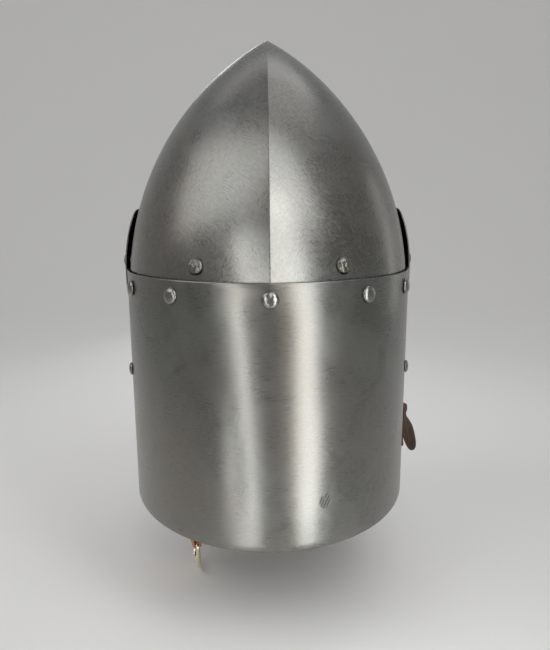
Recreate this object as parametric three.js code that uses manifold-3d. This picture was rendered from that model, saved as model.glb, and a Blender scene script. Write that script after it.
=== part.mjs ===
// A pointed helmet of riveted plates with a ridged skull and a hinged visor, in millimetres.
// +Z is up, +Y is the face and +X the wearer's right. The origin is the middle of the lower rim.
// An angle on the helmet is measured from the middle of the back towards the wearer's right.
import * as THREE from "three";
import { mergeVertices } from "three/addons/utils/BufferGeometryUtils.js";
import Module from "manifold-3d";

const wasm = await Module();
wasm.setup();

// Overall form
const apexHeight = 344.5;
const seamHeight = 172.5;
const springDrop = 12.5;
const skullLap = 24.5;
const seamHalfWidth = 110;
const rimHalfWidth = 106.5;
const seamBackDepth = 132;
const rimBackDepth = 144;
const seamFrontDepth = 132;
const plateWall = 1.6;
const skullWall = 1.6;
const seatGap = 0.3;
const boltGap = 0.3;
const endGap = 0.75;
const overrun = 6;

// Ridge down the back and the front: its share of the depth, and its spread over the half width
const keelAtSeamShare = 0.045;
const keelAtApexShare = 0.25;
const keelSpreadAtSeamShare = 0.2;
const keelSpreadAtApexShare = 1.2;
const keelFade = 60;

// Face opening of the skull and wrap of the back plate
const faceSideMargin = 14;
const faceRise = 12;
const faceCorner = 34;
const plateWrap = 105;

// Visor
const visorWall = 1.5;
const visorSideGap = 0.6;
const visorBrowGap = 8;
const visorSideRadius = 165;
const visorBrowRadius = 118;
const visorChinReach = 8;
const visorRidge = 7;
const visorRidgeSpread = 24;
const visorFoot = 4;
const visorRear = 15;
const visorRearDrop = 50;
const visorEarRear = -12;
const visorEarDrop = 16;
const visorEarRise = 27;
const visorSideRise = 40;
const visorBrowRise = 46;
const visorEarCorner = 14;
const pivotRise = 5.5;
const sightInner = 11;
const sightOuter = 86;
const sightDrop = 11;
const sightWidth = 9;
const breathRadius = 3;
const breathInner = 22;
const breathPitch = 15;
const breathFoot = 58;
const breathRows = 3;
const breathColumns = 4;

// Rivets: radius and height of the head, radius of the shank, and the peened end inside
const seamRivet = { head: 5.2, rise: 3.2, shank: 2.4, end: 3.8, endRise: 1.2, topShare: 0 };
const linerRivet = { head: 4.4, rise: 2.2, shank: 2, end: 3.2, endRise: 1, topShare: 0.4 };
const strapRivet = { head: 4.9, rise: 2.6, shank: 2, end: 3.4, endRise: 1.1, topShare: 0 };
const pivotRivet = { head: 4.8, rise: 2.2, shank: 2.6, end: 4, endRise: 1.4, topShare: 0.2 };
const foldRivet = { head: 2.8, rise: 1, shank: 1.2, end: 2.4, endRise: 0.8, topShare: 0.3 };
const tabRivet = { head: 4.2, rise: 1.6, shank: 2, end: 3.4, endRise: 1.1, topShare: 0.2 };
const seamRivetDrop = 10.5;
const seamRivetAngles = [-74, -36.2, 0, 36.2, 74];
const linerRivetAngle = 25.7;
const strapRivetAngle = 74;
const strapRivetHeight = 98;
const washerRadius = 5;
const washerWall = 0.9;
const spacerRadius = 4.8;

// Leather liner and its lace
const linerWall = 2.4;
const linerGap = 0.5;
const bandRise = 38.5;
const bandTilt = 29;
const bandHalfHeight = 10;
const crownDrop = 57.5;
const crownRadius = 20;
const lobeShoulderShare = 0.75;
const lobeCount = 8;
const notchAtCrown = 12;
const notchAtBand = 2.4;
const laceRadius = 1.2;
const laceShare = 0.86;
const laceWave = 6.6;

// Chin strap and buckle
const strapWidth = 20;
const strapWall = 2.4;
const strapWallGap = 0.95;
const strapTab = 9;
const strapBendStart = 10;
const strapBendEnd = 40;
const strapSlope = 0.3;
const buckleDrop = 145;
const tongueDrop = 136;
const tonguePoint = 9;
const tongueHoles = 5;
const tongueHolePitch = 14;
const tongueHoleRadius = 1.8;
const tongueHoleMargin = 18;
const foldLength = 28;
const foldTaper = 12;
const foldRivetRise = 19;
const buckleWire = 1.5;
const buckleHalfWidth = 12.5;
const buckleLength = 19.5;
const buckleTopCorner = 2;
const buckleFootCorner = 6;
const prongWidth = 3.4;
const prongWall = 1.6;
const prongEye = 1.5;
const prongTip = 2.2;
const barGap = 0.3;
const slotGap = 0.6;

// Visor strap on the wearer's right, its backing and the visor's stud
const tabHeight = 54;
const tabDrop = 37;
const tabWall = 3;
const tabTopRadius = 6;
const tabHalfWidth = 9;
const tabSlope = 0.19;
const tabBendStart = 6;
const tabBendEnd = 18;
const tabSlotWidth = 2;
const tabSlotLength = 9;
const tabSlotMargin = 8;
const backingWall = 2.4;
const backingDrop = 33;
const backingHalfWidth = 7.5;
const backingSlope = 0.09;
const studForward = 30;
const studHead = 4;
const studNeck = 2;
const studNeckLength = 5;
const studHeadRise = 3;

// Shares of their own sizes that shape the small pieces
const headSideShare = 0.25;
const endFaceShare = 0.7;
const studRimShare = 0.33;
const studCrownShare = 0.7;
const studCrownRiseShare = 0.8;
const leafWaistShare = 0.3;
const leafBroadShare = 0.6;
const leafTipShare = 0.9;

// Number of faces round the curved forms
const turnSteps = 48;
const domeSteps = 12;
const plateRows = 4;
const visorSteps = 40;
const visorTurn = 200;
const visorArcSteps = 5;
const sightSteps = 4;
const linerArcSteps = 4;
const roundSteps = 10;
const holeSteps = 8;
const headSteps = 3;
const laceSides = 5;
const strapSteps = 14;
const loopSteps = 6;
const tongueSteps = 4;
const wireSides = 8;
const cornerSteps = 4;
const tabSteps = 6;
const probeAngle = 0.5;
const probeHeight = 0.5;
const mergeDistance = 0.0001;

const springHeight = seamHeight - springDrop;
const skullFootHeight = seamHeight - skullLap;
const seamRivetHeight = seamHeight - seamRivetDrop;
const pivotHeight = seamHeight + pivotRise;
const sightHeight = pivotHeight - sightDrop;
const bandHeight = seamHeight + bandRise;
const crownHeight = apexHeight - crownDrop;

const lerp = THREE.MathUtils.lerp;
const toRadians = THREE.MathUtils.degToRad;
const axisX = new THREE.Vector3(1, 0, 0);
const axisY = new THREE.Vector3(0, 1, 0);
const axisZ = new THREE.Vector3(0, 0, 1);

// Steps from one number to another, both ends included
function steps(from, to, count) {
  return Array.from({ length: count + 1 }, (_, i) => lerp(from, to, i / count));
}

// Closed shell between an outer and an inner surface over a grid of two parameters.
// The diagonals of its faces mirror each other about the middle of the grid.
function shellGeometry(outer, inner, us, vs, { round, capped }) {
  const columns = us.length;
  const rows = vs.length;
  const points = [];
  for (const surface of [outer, inner]) {
    for (const v of vs) {
      for (const u of us) points.push(surface(u, v));
    }
  }
  const at = (side, row, column) => (side * rows + row) * columns + (column % columns);
  const faces = [];
  const quad = (a, b, c, d) => faces.push([a, b, c], [a, c, d]);
  const lastColumn = round ? columns : columns - 1;
  for (let row = 0; row < rows - 1; row += 1) {
    for (let column = 0; column < lastColumn; column += 1) {
      const next = column + 1;
      const ring = [[row, column], [row, next], [row + 1, next], [row + 1, column]];
      const start = 2 * column < lastColumn ? 0 : 1;
      const corner = (side, turn) => at(side, ...ring[(start + turn) % 4]);
      quad(corner(0, 0), corner(0, 1), corner(0, 2), corner(0, 3));
      quad(corner(1, 0), corner(1, 3), corner(1, 2), corner(1, 1));
    }
  }
  for (let column = 0; column < lastColumn; column += 1) {
    const next = column + 1;
    quad(at(1, 0, column), at(1, 0, next), at(0, 0, next), at(0, 0, column));
    if (!capped) {
      const top = rows - 1;
      quad(at(0, top, column), at(0, top, next), at(1, top, next), at(1, top, column));
    }
  }
  for (let row = 0; row < rows - 1 && !round; row += 1) {
    const end = columns - 1;
    quad(at(0, row, 0), at(0, row + 1, 0), at(1, row + 1, 0), at(1, row, 0));
    quad(at(0, row + 1, end), at(0, row, end), at(1, row, end), at(1, row + 1, end));
  }
  return facedGeometry(points, faces);
}

// Geometry from points and triangles, with coincident points merged and collapsed triangles left out
function facedGeometry(points, faces) {
  const geometry = new THREE.BufferGeometry().setFromPoints(points);
  geometry.setIndex(faces.flat());
  const merged = mergeVertices(geometry, mergeDistance);
  const index = merged.getIndex().array;
  const kept = [];
  for (let i = 0; i < index.length; i += 3) {
    const [a, b, c] = [index[i], index[i + 1], index[i + 2]];
    if (a !== b && b !== c && c !== a) kept.push(a, b, c);
  }
  merged.setIndex(kept);
  return merged;
}

// Tube of round section along a closed loop of points
function loopTube(path, radius, sides) {
  const points = [];
  const faces = [];
  const count = path.length;
  const centre = path.reduce((sum, p) => sum.add(p), new THREE.Vector3()).divideScalar(count);
  for (let i = 0; i < count; i += 1) {
    const along = path[(i + 1) % count].clone().sub(path[(i + count - 1) % count]).normalize();
    const outward = path[i].clone().sub(centre).projectOnPlane(along).normalize();
    const across = along.clone().cross(outward);
    for (let k = 0; k < sides; k += 1) {
      const turn = (2 * Math.PI * k) / sides;
      const spoke = outward.clone().multiplyScalar(Math.cos(turn));
      spoke.addScaledVector(across, Math.sin(turn));
      points.push(path[i].clone().addScaledVector(spoke, radius));
    }
  }
  for (let i = 0; i < count; i += 1) {
    const next = (i + 1) % count;
    for (let k = 0; k < sides; k += 1) {
      const turn = (k + 1) % sides;
      const [a, b] = [i * sides + k, i * sides + turn];
      const [c, d] = [next * sides + turn, next * sides + k];
      faces.push([a, b, c], [a, c, d]);
    }
  }
  return outwardFaces(facedGeometry(points, faces));
}

// The same geometry with its faces turned to point out
function outwardFaces(geometry) {
  const position = geometry.getAttribute("position");
  const index = Array.from(geometry.getIndex().array);
  const corner = (i) => new THREE.Vector3().fromBufferAttribute(position, index[i]);
  let volume = 0;
  for (let i = 0; i < index.length; i += 3) volume += corner(i).dot(corner(i + 1).cross(corner(i + 2)));
  if (volume < 0) index.reverse();
  geometry.setIndex(index);
  return geometry;
}

// Solid for joining and cutting, from any closed geometry
function solid(geometry) {
  const bare = geometry.clone();
  bare.deleteAttribute("normal");
  bare.deleteAttribute("uv");
  const merged = outwardFaces(mergeVertices(bare, mergeDistance));
  const vertProperties = new Float32Array(merged.getAttribute("position").array);
  const triVerts = new Uint32Array(merged.getIndex().array);
  return new wasm.Manifold(new wasm.Mesh({ numProp: 3, vertProperties, triVerts }));
}

function geometryOf(body) {
  const mesh = body.getMesh();
  const geometry = new THREE.BufferGeometry();
  geometry.setAttribute("position", new THREE.BufferAttribute(mesh.vertProperties, 3));
  geometry.setIndex(new THREE.BufferAttribute(mesh.triVerts, 1));
  return geometry;
}

// A flat outline given a thickness, centred on the plane of its two axes
function prism(shape, thickness, first, second, segments = holeSteps) {
  const options = { depth: thickness, bevelEnabled: false, curveSegments: segments };
  const geometry = new THREE.ExtrudeGeometry(shape, options);
  geometry.translate(0, 0, -thickness / 2);
  const third = first.clone().cross(second);
  return geometry.applyMatrix4(new THREE.Matrix4().makeBasis(first, second, third));
}

// Round bar from one point to another
function bar(from, to, radius, sides = roundSteps) {
  const length = from.distanceTo(to);
  const geometry = new THREE.CylinderGeometry(radius, radius, length, sides);
  const turn = new THREE.Quaternion().setFromUnitVectors(axisY, to.clone().sub(from).normalize());
  const middle = from.clone().lerp(to, 0.5);
  return geometry.applyQuaternion(turn).translate(middle.x, middle.y, middle.z);
}

// Ridge at one height: it fades out down the back plate, and grows and spreads up the skull
function keelAt(height) {
  const fade = THREE.MathUtils.smoothstep(height, seamHeight - keelFade, seamHeight);
  const climb = THREE.MathUtils.smoothstep(height, seamHeight, apexHeight);
  return {
    share: fade * lerp(keelAtSeamShare, keelAtApexShare, climb),
    spread: lerp(keelSpreadAtSeamShare, keelSpreadAtApexShare, climb),
  };
}

// Plan section at one height, with a ridge at the back and the front that falls off to the sides
function sectionPoint(angle, height, halfWidth, backDepth, frontDepth, keel) {
  const across = Math.sin(toRadians(angle));
  const along = Math.cos(toRadians(angle));
  const depth = along > 0 ? backDepth : frontDepth;
  const side = Math.exp(-1 / keel.spread);
  const ridge = (Math.exp(-Math.abs(across) / keel.spread) - side) / (1 - side);
  const reach = (1 - keel.share) * along + Math.sign(along) * keel.share * ridge;
  return new THREE.Vector3(halfWidth * across, -depth * reach, height);
}

const widthTaper = (seamHalfWidth - rimHalfWidth) / seamHeight;
const backLean = (rimBackDepth - seamBackDepth) / seamHeight;

function plateHalfWidth(height) {
  return rimHalfWidth + widthTaper * height;
}

function plateBackDepth(height) {
  return rimBackDepth - backLean * height;
}

// Back plate's surface, inset from its outside
function platePoint(angle, height, inset) {
  const halfWidth = plateHalfWidth(height) - inset;
  const backDepth = plateBackDepth(height) - inset;
  return sectionPoint(angle, height, halfWidth, backDepth, seamFrontDepth - inset, keelAt(height));
}

// How far an arc of this radius has fallen back at a height above its spring
function arcDrop(radius, height) {
  return radius - Math.sqrt(radius * radius - height * height);
}

const skullRise = apexHeight - springHeight;
const skullHalfWidth = plateHalfWidth(springHeight) - plateWall - seatGap;
const skullBackDepth = plateBackDepth(seamHeight) - plateWall - seatGap;
const skullFrontDepth = seamFrontDepth - plateWall - seatGap;

function ogiveRadius(half, rise) {
  return (rise * rise + half * half) / (2 * half);
}

// Rise of the skull's pointed arch when it is inset from the outside
function skullRiseAt(inset) {
  const radius = ogiveRadius(skullHalfWidth, skullRise);
  return Math.sqrt((radius - inset) ** 2 - (radius - skullHalfWidth) ** 2);
}

// Skull's surface: a pointed arch above its spring, and a skirt that follows the back plate below
function skullPoint(angle, height, inset) {
  const rise = skullRiseAt(inset);
  const above = Math.min(Math.max(height - springHeight, 0), rise);
  const below = Math.max(springHeight - height, 0);
  const arch = (half) => half - inset - arcDrop(ogiveRadius(half - inset, rise), above);
  const halfWidth = arch(skullHalfWidth) - widthTaper * below;
  const backDepth = arch(skullBackDepth) + backLean * below;
  const level = springHeight + above - below;
  return sectionPoint(angle, level, halfWidth, backDepth, arch(skullFrontDepth), keelAt(height));
}

// Visor's surface, with a narrow ridge down its middle
function visorPoint(angle, height, inset) {
  const above = Math.max(height - seamHeight, 0);
  const below = Math.max(seamHeight - height, 0);
  const side = seamHalfWidth + visorSideGap + visorWall - widthTaper * below;
  const halfWidth = side - inset - arcDrop(visorSideRadius - inset, above);
  const brow = seamFrontDepth + visorBrowGap + visorWall + (visorChinReach * below) / seamHeight;
  const frontDepth = brow - inset - arcDrop(visorBrowRadius - inset, above);
  const plain = { share: 0, spread: 1 };
  const point = sectionPoint(angle, height, halfWidth, plateBackDepth(height), frontDepth, plain);
  if (point.y > 0) point.y += visorRidge * Math.exp(-Math.abs(point.x) / visorRidgeSpread);
  return point;
}

// Height of the liner band's middle, lower at the back than over the forehead
function bandMiddle(angle) {
  return bandHeight - bandTilt * Math.cos(toRadians(angle));
}

// Liner's surface: a band on the skull, then lobes that leave its wall and curve in to the crown
function linerPoint(angle, share, depth) {
  const inset = skullWall + linerGap + depth;
  if (share <= 0) return skullPoint(angle, bandMiddle(angle) + bandHalfHeight * (1 + 2 * share), inset);
  const foot = skullPoint(angle, bandMiddle(angle) + bandHalfHeight, inset);
  const shoulder = skullPoint(angle, lerp(foot.z, crownHeight, lobeShoulderShare), inset);
  const turn = toRadians(angle);
  const crown = new THREE.Vector3(Math.sin(turn), -Math.cos(turn), 0).multiplyScalar(crownRadius);
  crown.z = crownHeight - depth;
  return new THREE.QuadraticBezierCurve3(foot, shoulder, crown).getPoint(share);
}

// Place and outward direction on a surface
function seatOn(surface, angle, height) {
  const point = surface(angle, height, 0);
  const around = surface(angle + probeAngle, height, 0).sub(surface(angle - probeAngle, height, 0));
  const up = surface(angle, height + probeHeight, 0).sub(surface(angle, height - probeHeight, 0));
  return { point, outward: around.cross(up).normalize() };
}

// Same seat with its direction level
function levelSeatOn(surface, angle, height) {
  const seat = seatOn(surface, angle, height);
  seat.outward.setZ(0).normalize();
  return seat;
}

// Depth below a seat of a point on a deeper surface
function depthBelow(seat, point) {
  return seat.point.clone().sub(point).dot(seat.outward);
}

function placeOn(geometry, seat, depth = 0) {
  const turn = new THREE.Quaternion().setFromUnitVectors(axisZ, seat.outward);
  const at = seat.point.clone().addScaledVector(seat.outward, -depth);
  return geometry.applyQuaternion(turn).translate(at.x, at.y, at.z);
}

// Turned piece about Z from points of radius and height
function turned(profile, sides = roundSteps) {
  const points = profile.map(([radius, height]) => new THREE.Vector2(radius, height));
  return new THREE.LatheGeometry(points, sides).rotateX(Math.PI / 2);
}

// Rivet whose head stands on its seat and whose peened end lies past the sheets that it grips
function rivetGeometry(kind, grip, underEnd) {
  const side = kind.rise * headSideShare;
  const top = kind.head * kind.topShare;
  const dome = steps(0, 1, headSteps).map((share) => {
    const quarter = (share * Math.PI) / 2;
    return [lerp(top, kind.head, Math.cos(quarter)), seatGap + lerp(side, kind.rise, Math.sin(quarter))];
  });
  const crown = kind.topShare > 0 ? [[0, seatGap + kind.rise]] : [];
  const foot = -grip - underEnd;
  return turned([
    [0, foot - kind.endRise],
    [kind.end * endFaceShare, foot - kind.endRise],
    [kind.end, foot],
    [kind.shank, foot],
    [kind.shank, seatGap],
    [kind.head, seatGap],
    ...dome,
    ...crown,
  ]);
}

// Flat ring that lies between two depths under a seat
function ringGeometry(outerRadius, innerRadius, fromDepth, toDepth) {
  return turned([
    [innerRadius, -toDepth],
    [outerRadius, -toDepth],
    [outerRadius, -fromDepth],
    [innerRadius, -fromDepth],
    [innerRadius, -toDepth],
  ]);
}

// Hole for a rivet's shank through everything near its seat
function drill(body, seat, kind, reach) {
  const outside = seat.point.clone().addScaledVector(seat.outward, overrun);
  const inside = seat.point.clone().addScaledVector(seat.outward, -reach);
  return body.subtract(solid(bar(inside, outside, kind.shank + boltGap)));
}

const steel = { color: 0x8b8d88, roughness: 0.38, metalness: 1 };
const rivetSteel = { color: 0x9a9c97, roughness: 0.3, metalness: 1 };
const darkLeather = { color: 0x3b2118, roughness: 0.6, metalness: 0 };
const tanLeather = { color: 0xb07a4c, roughness: 0.65, metalness: 0 };
const paleBrass = { color: 0xd8cda6, roughness: 0.3, metalness: 1 };

const helmet = new THREE.Group();

function add(name, geometry, finish) {
  const mesh = new THREE.Mesh(geometry, new THREE.MeshStandardMaterial(finish));
  mesh.name = name;
  helmet.add(mesh);
  return mesh;
}

const sides = [
  { name: "left", sign: -1 },
  { name: "right", sign: 1 },
];

// Seats of all rivets
const seamSeats = seamRivetAngles.map((angle) => ({
  ...seatOn(platePoint, angle, seamRivetHeight),
  angle,
}));
const linerSeats = [linerRivetAngle, 180 - linerRivetAngle].flatMap((angle) =>
  sides.map((side) => ({
    ...seatOn(skullPoint, side.sign * angle, bandMiddle(angle)),
    angle: side.sign * angle,
    name: `${angle < 90 ? "back" : "front"}_${side.name}`,
  })),
);
const strapSeats = sides.map((side) => ({
  ...seatOn(platePoint, side.sign * strapRivetAngle, strapRivetHeight),
  name: side.name,
}));
const tabSeat = levelSeatOn(platePoint, 90, tabHeight);
const pivotSeats = sides.map((side) => ({
  point: new THREE.Vector3(side.sign * visorPoint(90, seamHeight, 0).x, 0, pivotHeight),
  outward: axisX.clone().multiplyScalar(side.sign),
  name: side.name,
}));
const pivotSpan = depthBelow(pivotSeats[1], skullPoint(90, pivotHeight + spacerRadius, skullWall));

// Skull, cut for the face and for its rivets
function skull() {
  const radius = ogiveRadius(skullHalfWidth, skullRise);
  const arc = Math.asin(skullRise / radius);
  const rises = steps(0, arc, domeSteps).map((turn) => Math.sin(turn) / Math.sin(arc));
  const levels = [-1, ...rises];
  const heightAt = (level, inset) => {
    if (level < 0) return lerp(springHeight, skullFootHeight, -level);
    return springHeight + level * skullRiseAt(inset);
  };
  const angles = steps(0, 360, turnSteps).slice(0, turnSteps);
  const outer = (angle, level) => skullPoint(angle, heightAt(level, 0), 0);
  const inner = (angle, level) => skullPoint(angle, heightAt(level, skullWall), skullWall);
  let body = solid(shellGeometry(outer, inner, angles, levels, { round: true, capped: true }));
  const faceHalfWidth = seamHalfWidth - faceSideMargin;
  const faceTop = pivotHeight + faceRise;
  const face = new THREE.Shape();
  face.moveTo(-faceHalfWidth, 0);
  face.lineTo(faceHalfWidth, 0);
  face.lineTo(faceHalfWidth, faceTop - faceCorner);
  face.quadraticCurveTo(faceHalfWidth, faceTop, faceHalfWidth - faceCorner, faceTop);
  face.lineTo(faceCorner - faceHalfWidth, faceTop);
  face.quadraticCurveTo(-faceHalfWidth, faceTop, -faceHalfWidth, faceTop - faceCorner);
  const reach = 2 * seamFrontDepth;
  body = body.subtract(solid(prism(face, reach, axisX, axisZ).translate(0, reach / 2, 0)));
  for (const seat of seamSeats) body = drill(body, seat, seamRivet, 2 * overrun);
  for (const seat of linerSeats) body = drill(body, seat, linerRivet, overrun);
  for (const seat of pivotSeats) body = drill(body, seat, pivotRivet, 2 * overrun);
  return geometryOf(body);
}

function backPlate() {
  const count = Math.round((turnSteps * 2 * plateWrap) / 360);
  const angles = steps(-plateWrap, plateWrap, count);
  const outer = (angle, height) => platePoint(angle, height, 0);
  const inner = (angle, height) => platePoint(angle, height, plateWall);
  const heights = [0, ...steps(seamHeight - keelFade, seamHeight, plateRows)];
  let body = solid(shellGeometry(outer, inner, angles, heights, {}));
  for (const seat of seamSeats) body = drill(body, seat, seamRivet, overrun);
  for (const seat of strapSeats) body = drill(body, seat, strapRivet, overrun);
  body = drill(body, tabSeat, tabRivet, overrun);
  return geometryOf(body);
}

// Outline of the visor seen from the side, open past the front
function visorSideOutline() {
  const front = 2 * seamFrontDepth;
  const sideTop = pivotHeight + visorSideRise;
  const browTop = pivotHeight + visorBrowRise;
  const earFoot = pivotHeight - visorEarDrop;
  const rearTop = pivotHeight - visorRearDrop;
  const waist = (earFoot + rearTop) / 2;
  const outline = new THREE.Shape();
  outline.moveTo(front, visorFoot);
  outline.lineTo(front, lerp(sideTop, browTop, front / seamFrontDepth));
  outline.lineTo(visorEarRear + visorEarCorner, sideTop);
  outline.quadraticCurveTo(visorEarRear, sideTop, visorEarRear, pivotHeight + visorEarRise);
  outline.lineTo(visorEarRear, earFoot);
  outline.bezierCurveTo(visorEarRear, waist, visorRear, waist, visorRear, rearTop);
  outline.lineTo(visorRear, visorFoot);
  return outline;
}

// Slot with round ends between two places across the visor
function sightOutline(sign) {
  const radius = sightWidth / 2;
  const [from, to] = [sign * sightInner, sign * sightOuter].sort((a, b) => a - b);
  const outline = new THREE.Shape();
  outline.absarc(to - radius, sightHeight, radius, -Math.PI / 2, Math.PI / 2, false);
  outline.absarc(from + radius, sightHeight, radius, Math.PI / 2, (3 * Math.PI) / 2, false);
  return outline;
}

function visor() {
  const angles = steps(180 - visorTurn / 2, 180 + visorTurn / 2, visorSteps);
  const top = pivotHeight + Math.max(visorSideRise, 2 * visorBrowRise - visorSideRise) + overrun;
  const heights = [visorFoot - overrun, ...steps(seamHeight, top, visorArcSteps)];
  const outer = (angle, height) => visorPoint(angle, height, 0);
  const inner = (angle, height) => visorPoint(angle, height, visorWall);
  let body = solid(shellGeometry(outer, inner, angles, heights, {}));
  body = body.intersect(solid(prism(visorSideOutline(), 4 * seamHalfWidth, axisY, axisZ)));
  const reach = 2 * seamFrontDepth;
  for (const side of sides) {
    const sight = prism(sightOutline(side.sign), reach, axisX, axisZ, sightSteps);
    body = body.subtract(solid(sight.translate(0, reach / 2, 0)));
    for (let row = 0; row < breathRows; row += 1) {
      for (let column = 0; column < breathColumns; column += 1) {
        const across = side.sign * (breathInner + breathPitch * (column + (row % 2) / 2));
        const from = new THREE.Vector3(across, 0, breathFoot + breathPitch * row);
        const to = from.clone().addScaledVector(axisY, reach);
        body = body.subtract(solid(bar(from, to, breathRadius, holeSteps)));
      }
    }
  }
  for (const seat of pivotSeats) body = drill(body, seat, pivotRivet, overrun);
  body = drill(body, studSeat(), { shank: studNeck }, overrun);
  return geometryOf(body);
}

// Liner of one piece: a band and its lobes, parted by notches that widen to the crown
function liner() {
  const angles = steps(0, 360, turnSteps).slice(0, turnSteps);
  const shares = [-1, ...steps(0, 1, linerArcSteps)];
  const outer = (angle, share) => linerPoint(angle, share, 0);
  const inner = (angle, share) => linerPoint(angle, share, linerWall);
  let body = solid(shellGeometry(outer, inner, angles, shares, { round: true }));
  for (let lobe = 0; lobe < lobeCount; lobe += 1) {
    const angle = ((lobe + 0.5) * 360) / lobeCount;
    const foot = linerPoint(angle, 1 / linerArcSteps, linerWall);
    const reach = Math.hypot(foot.x, foot.y);
    const notch = new THREE.Shape();
    notch.moveTo(0, -notchAtCrown / 2);
    notch.lineTo(reach, -notchAtBand / 2);
    notch.lineTo(reach, notchAtBand / 2);
    notch.lineTo(0, notchAtCrown / 2);
    const wedge = prism(notch, 2 * apexHeight, axisX, axisY).rotateZ(Math.atan2(foot.y, foot.x));
    body = body.subtract(solid(wedge));
  }
  for (const seat of linerSeats) body = drill(body, seat, linerRivet, overrun);
  return geometryOf(body);
}

// Lace that runs over one lobe and under the next, and crosses in the notches
function linerLace() {
  const path = steps(0, 360, turnSteps).slice(0, turnSteps).map((angle) => {
    const sheet = linerPoint(angle, laceShare, linerWall / 2);
    const swing = 2 * Math.cos((toRadians(angle) * lobeCount) / 2);
    sheet.z += laceWave * THREE.MathUtils.clamp(swing, -1, 1);
    return sheet;
  });
  return loopTube(path, laceRadius, laceSides);
}

// Axes of a strap that hangs inside: inwards from the plate, across the strap, and up the plate
function strapFrame(seat) {
  const inward = seat.outward.clone().negate();
  const across = axisZ.clone().cross(inward).normalize();
  const matrix = new THREE.Matrix4().makeBasis(inward, across, inward.clone().cross(across));
  return matrix.setPosition(seat.point.clone().addScaledVector(inward, plateWall));
}

// How far a strap stands off at a distance below its rivet, after an even bend to its slope
function strapOffset(drop, slope, bendStart, bendEnd) {
  const bend = bendEnd - bendStart;
  if (drop <= bendStart) return 0;
  if (drop < bendEnd) return (slope * (drop - bendStart) ** 2) / (2 * bend);
  return slope * (bend / 2 + drop - bendEnd);
}

const chinOffset = (drop) => strapWallGap + strapOffset(drop, strapSlope, strapBendStart, strapBendEnd);
const eyeRadius = buckleWire + barGap;
const loopRadius = eyeRadius + strapWall;
const barOffset = chinOffset(buckleDrop) + loopRadius;

// Points down a strap's face between two distances below its rivet
function strapFace(from, to, offset, count) {
  return steps(from, to, count).map((drop) => new THREE.Vector2(offset(drop), -drop));
}

// Half with the buckle: its end is folded round the frame's bar and back on itself
function buckleStrap() {
  const wallFace = strapFace(-strapTab, buckleDrop, chinOffset, strapSteps);
  const loop = steps(Math.PI, 2 * Math.PI, loopSteps).slice(1).map((turn) => {
    const offset = barOffset + loopRadius * Math.cos(turn);
    return new THREE.Vector2(offset, loopRadius * Math.sin(turn) - buckleDrop);
  });
  const doubled = (drop) => chinOffset(drop) + 2 * strapWall + seatGap;
  const single = (drop) => chinOffset(drop) + strapWall;
  const foldTop = buckleDrop - foldLength;
  const outline = new THREE.Shape([
    ...wallFace,
    ...loop,
    ...strapFace(buckleDrop - foldTaper, foldTop, doubled, 1),
    ...strapFace(foldTop, -strapTab, single, strapSteps),
  ]);
  const eye = new THREE.Path();
  eye.absarc(barOffset, -buckleDrop, eyeRadius, 0, 2 * Math.PI, false);
  outline.holes.push(eye);
  let body = solid(prism(outline, strapWidth, axisX, axisZ));
  const slot = new THREE.BoxGeometry(4 * loopRadius, prongWidth + 2 * slotGap, 2 * loopRadius);
  slot.translate(barOffset, 0, -buckleDrop - loopRadius + prongEye + eyeRadius + slotGap);
  body = body.subtract(solid(slot));
  const hole = { point: new THREE.Vector3(), outward: axisX };
  body = drill(body, hole, strapRivet, overrun);
  body = drill(body, foldSeat(), foldRivet, 2 * overrun);
  return geometryOf(body);
}

// Seat of the rivet through the fold, in the strap's own axes
function foldSeat() {
  const drop = buckleDrop - foldRivetRise;
  const outward = new THREE.Vector3(-1, 0, -strapSlope).normalize();
  return { point: new THREE.Vector3(chinOffset(drop), 0, -drop), outward };
}

// Half with the tongue: holes along it and a blunt point
function tongueStrap() {
  const outline = new THREE.Shape([
    ...strapFace(-strapTab, tongueDrop, chinOffset, strapSteps),
    ...strapFace(tongueDrop, -strapTab, (drop) => chinOffset(drop) + strapWall, strapSteps),
  ]);
  const half = strapWidth / 2;
  const front = new THREE.Shape();
  front.moveTo(-half, strapTab);
  front.lineTo(-half, tonguePoint - tongueDrop);
  front.quadraticCurveTo(-half, -tongueDrop, 0, -tongueDrop);
  front.quadraticCurveTo(half, -tongueDrop, half, tonguePoint - tongueDrop);
  front.lineTo(half, strapTab);
  let body = solid(prism(outline, strapWidth, axisX, axisZ));
  body = body.intersect(solid(prism(front, 4 * tongueDrop, axisY, axisZ, tongueSteps)));
  const far = new THREE.Vector3(2 * tongueDrop, 0, 0);
  for (let hole = 0; hole < tongueHoles; hole += 1) {
    const at = new THREE.Vector3(0, 0, tongueHoleMargin + hole * tongueHolePitch - tongueDrop);
    body = body.subtract(solid(bar(at, at.clone().add(far), tongueHoleRadius, holeSteps)));
  }
  body = drill(body, { point: new THREE.Vector3(), outward: axisX }, strapRivet, overrun);
  return geometryOf(body);
}

// Buckle frame about its bar: a bent wire with small corners above and round ones below
function buckleFrame() {
  const path = [];
  const corner = (signAcross, height, radius, from) => {
    const centreAcross = signAcross * (buckleHalfWidth - radius);
    const centreHeight = height + (height < 0 ? radius : -radius);
    for (const turn of steps(from, from + Math.PI / 2, cornerSteps)) {
      const across = centreAcross + radius * Math.cos(turn);
      path.push(new THREE.Vector3(0, across, centreHeight + radius * Math.sin(turn)));
    }
  };
  corner(1, 0, buckleTopCorner, 0);
  corner(-1, 0, buckleTopCorner, Math.PI / 2);
  corner(-1, -buckleLength, buckleFootCorner, Math.PI);
  corner(1, -buckleLength, buckleFootCorner, (3 * Math.PI) / 2);
  return loopTube(path, buckleWire, wireSides);
}

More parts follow.
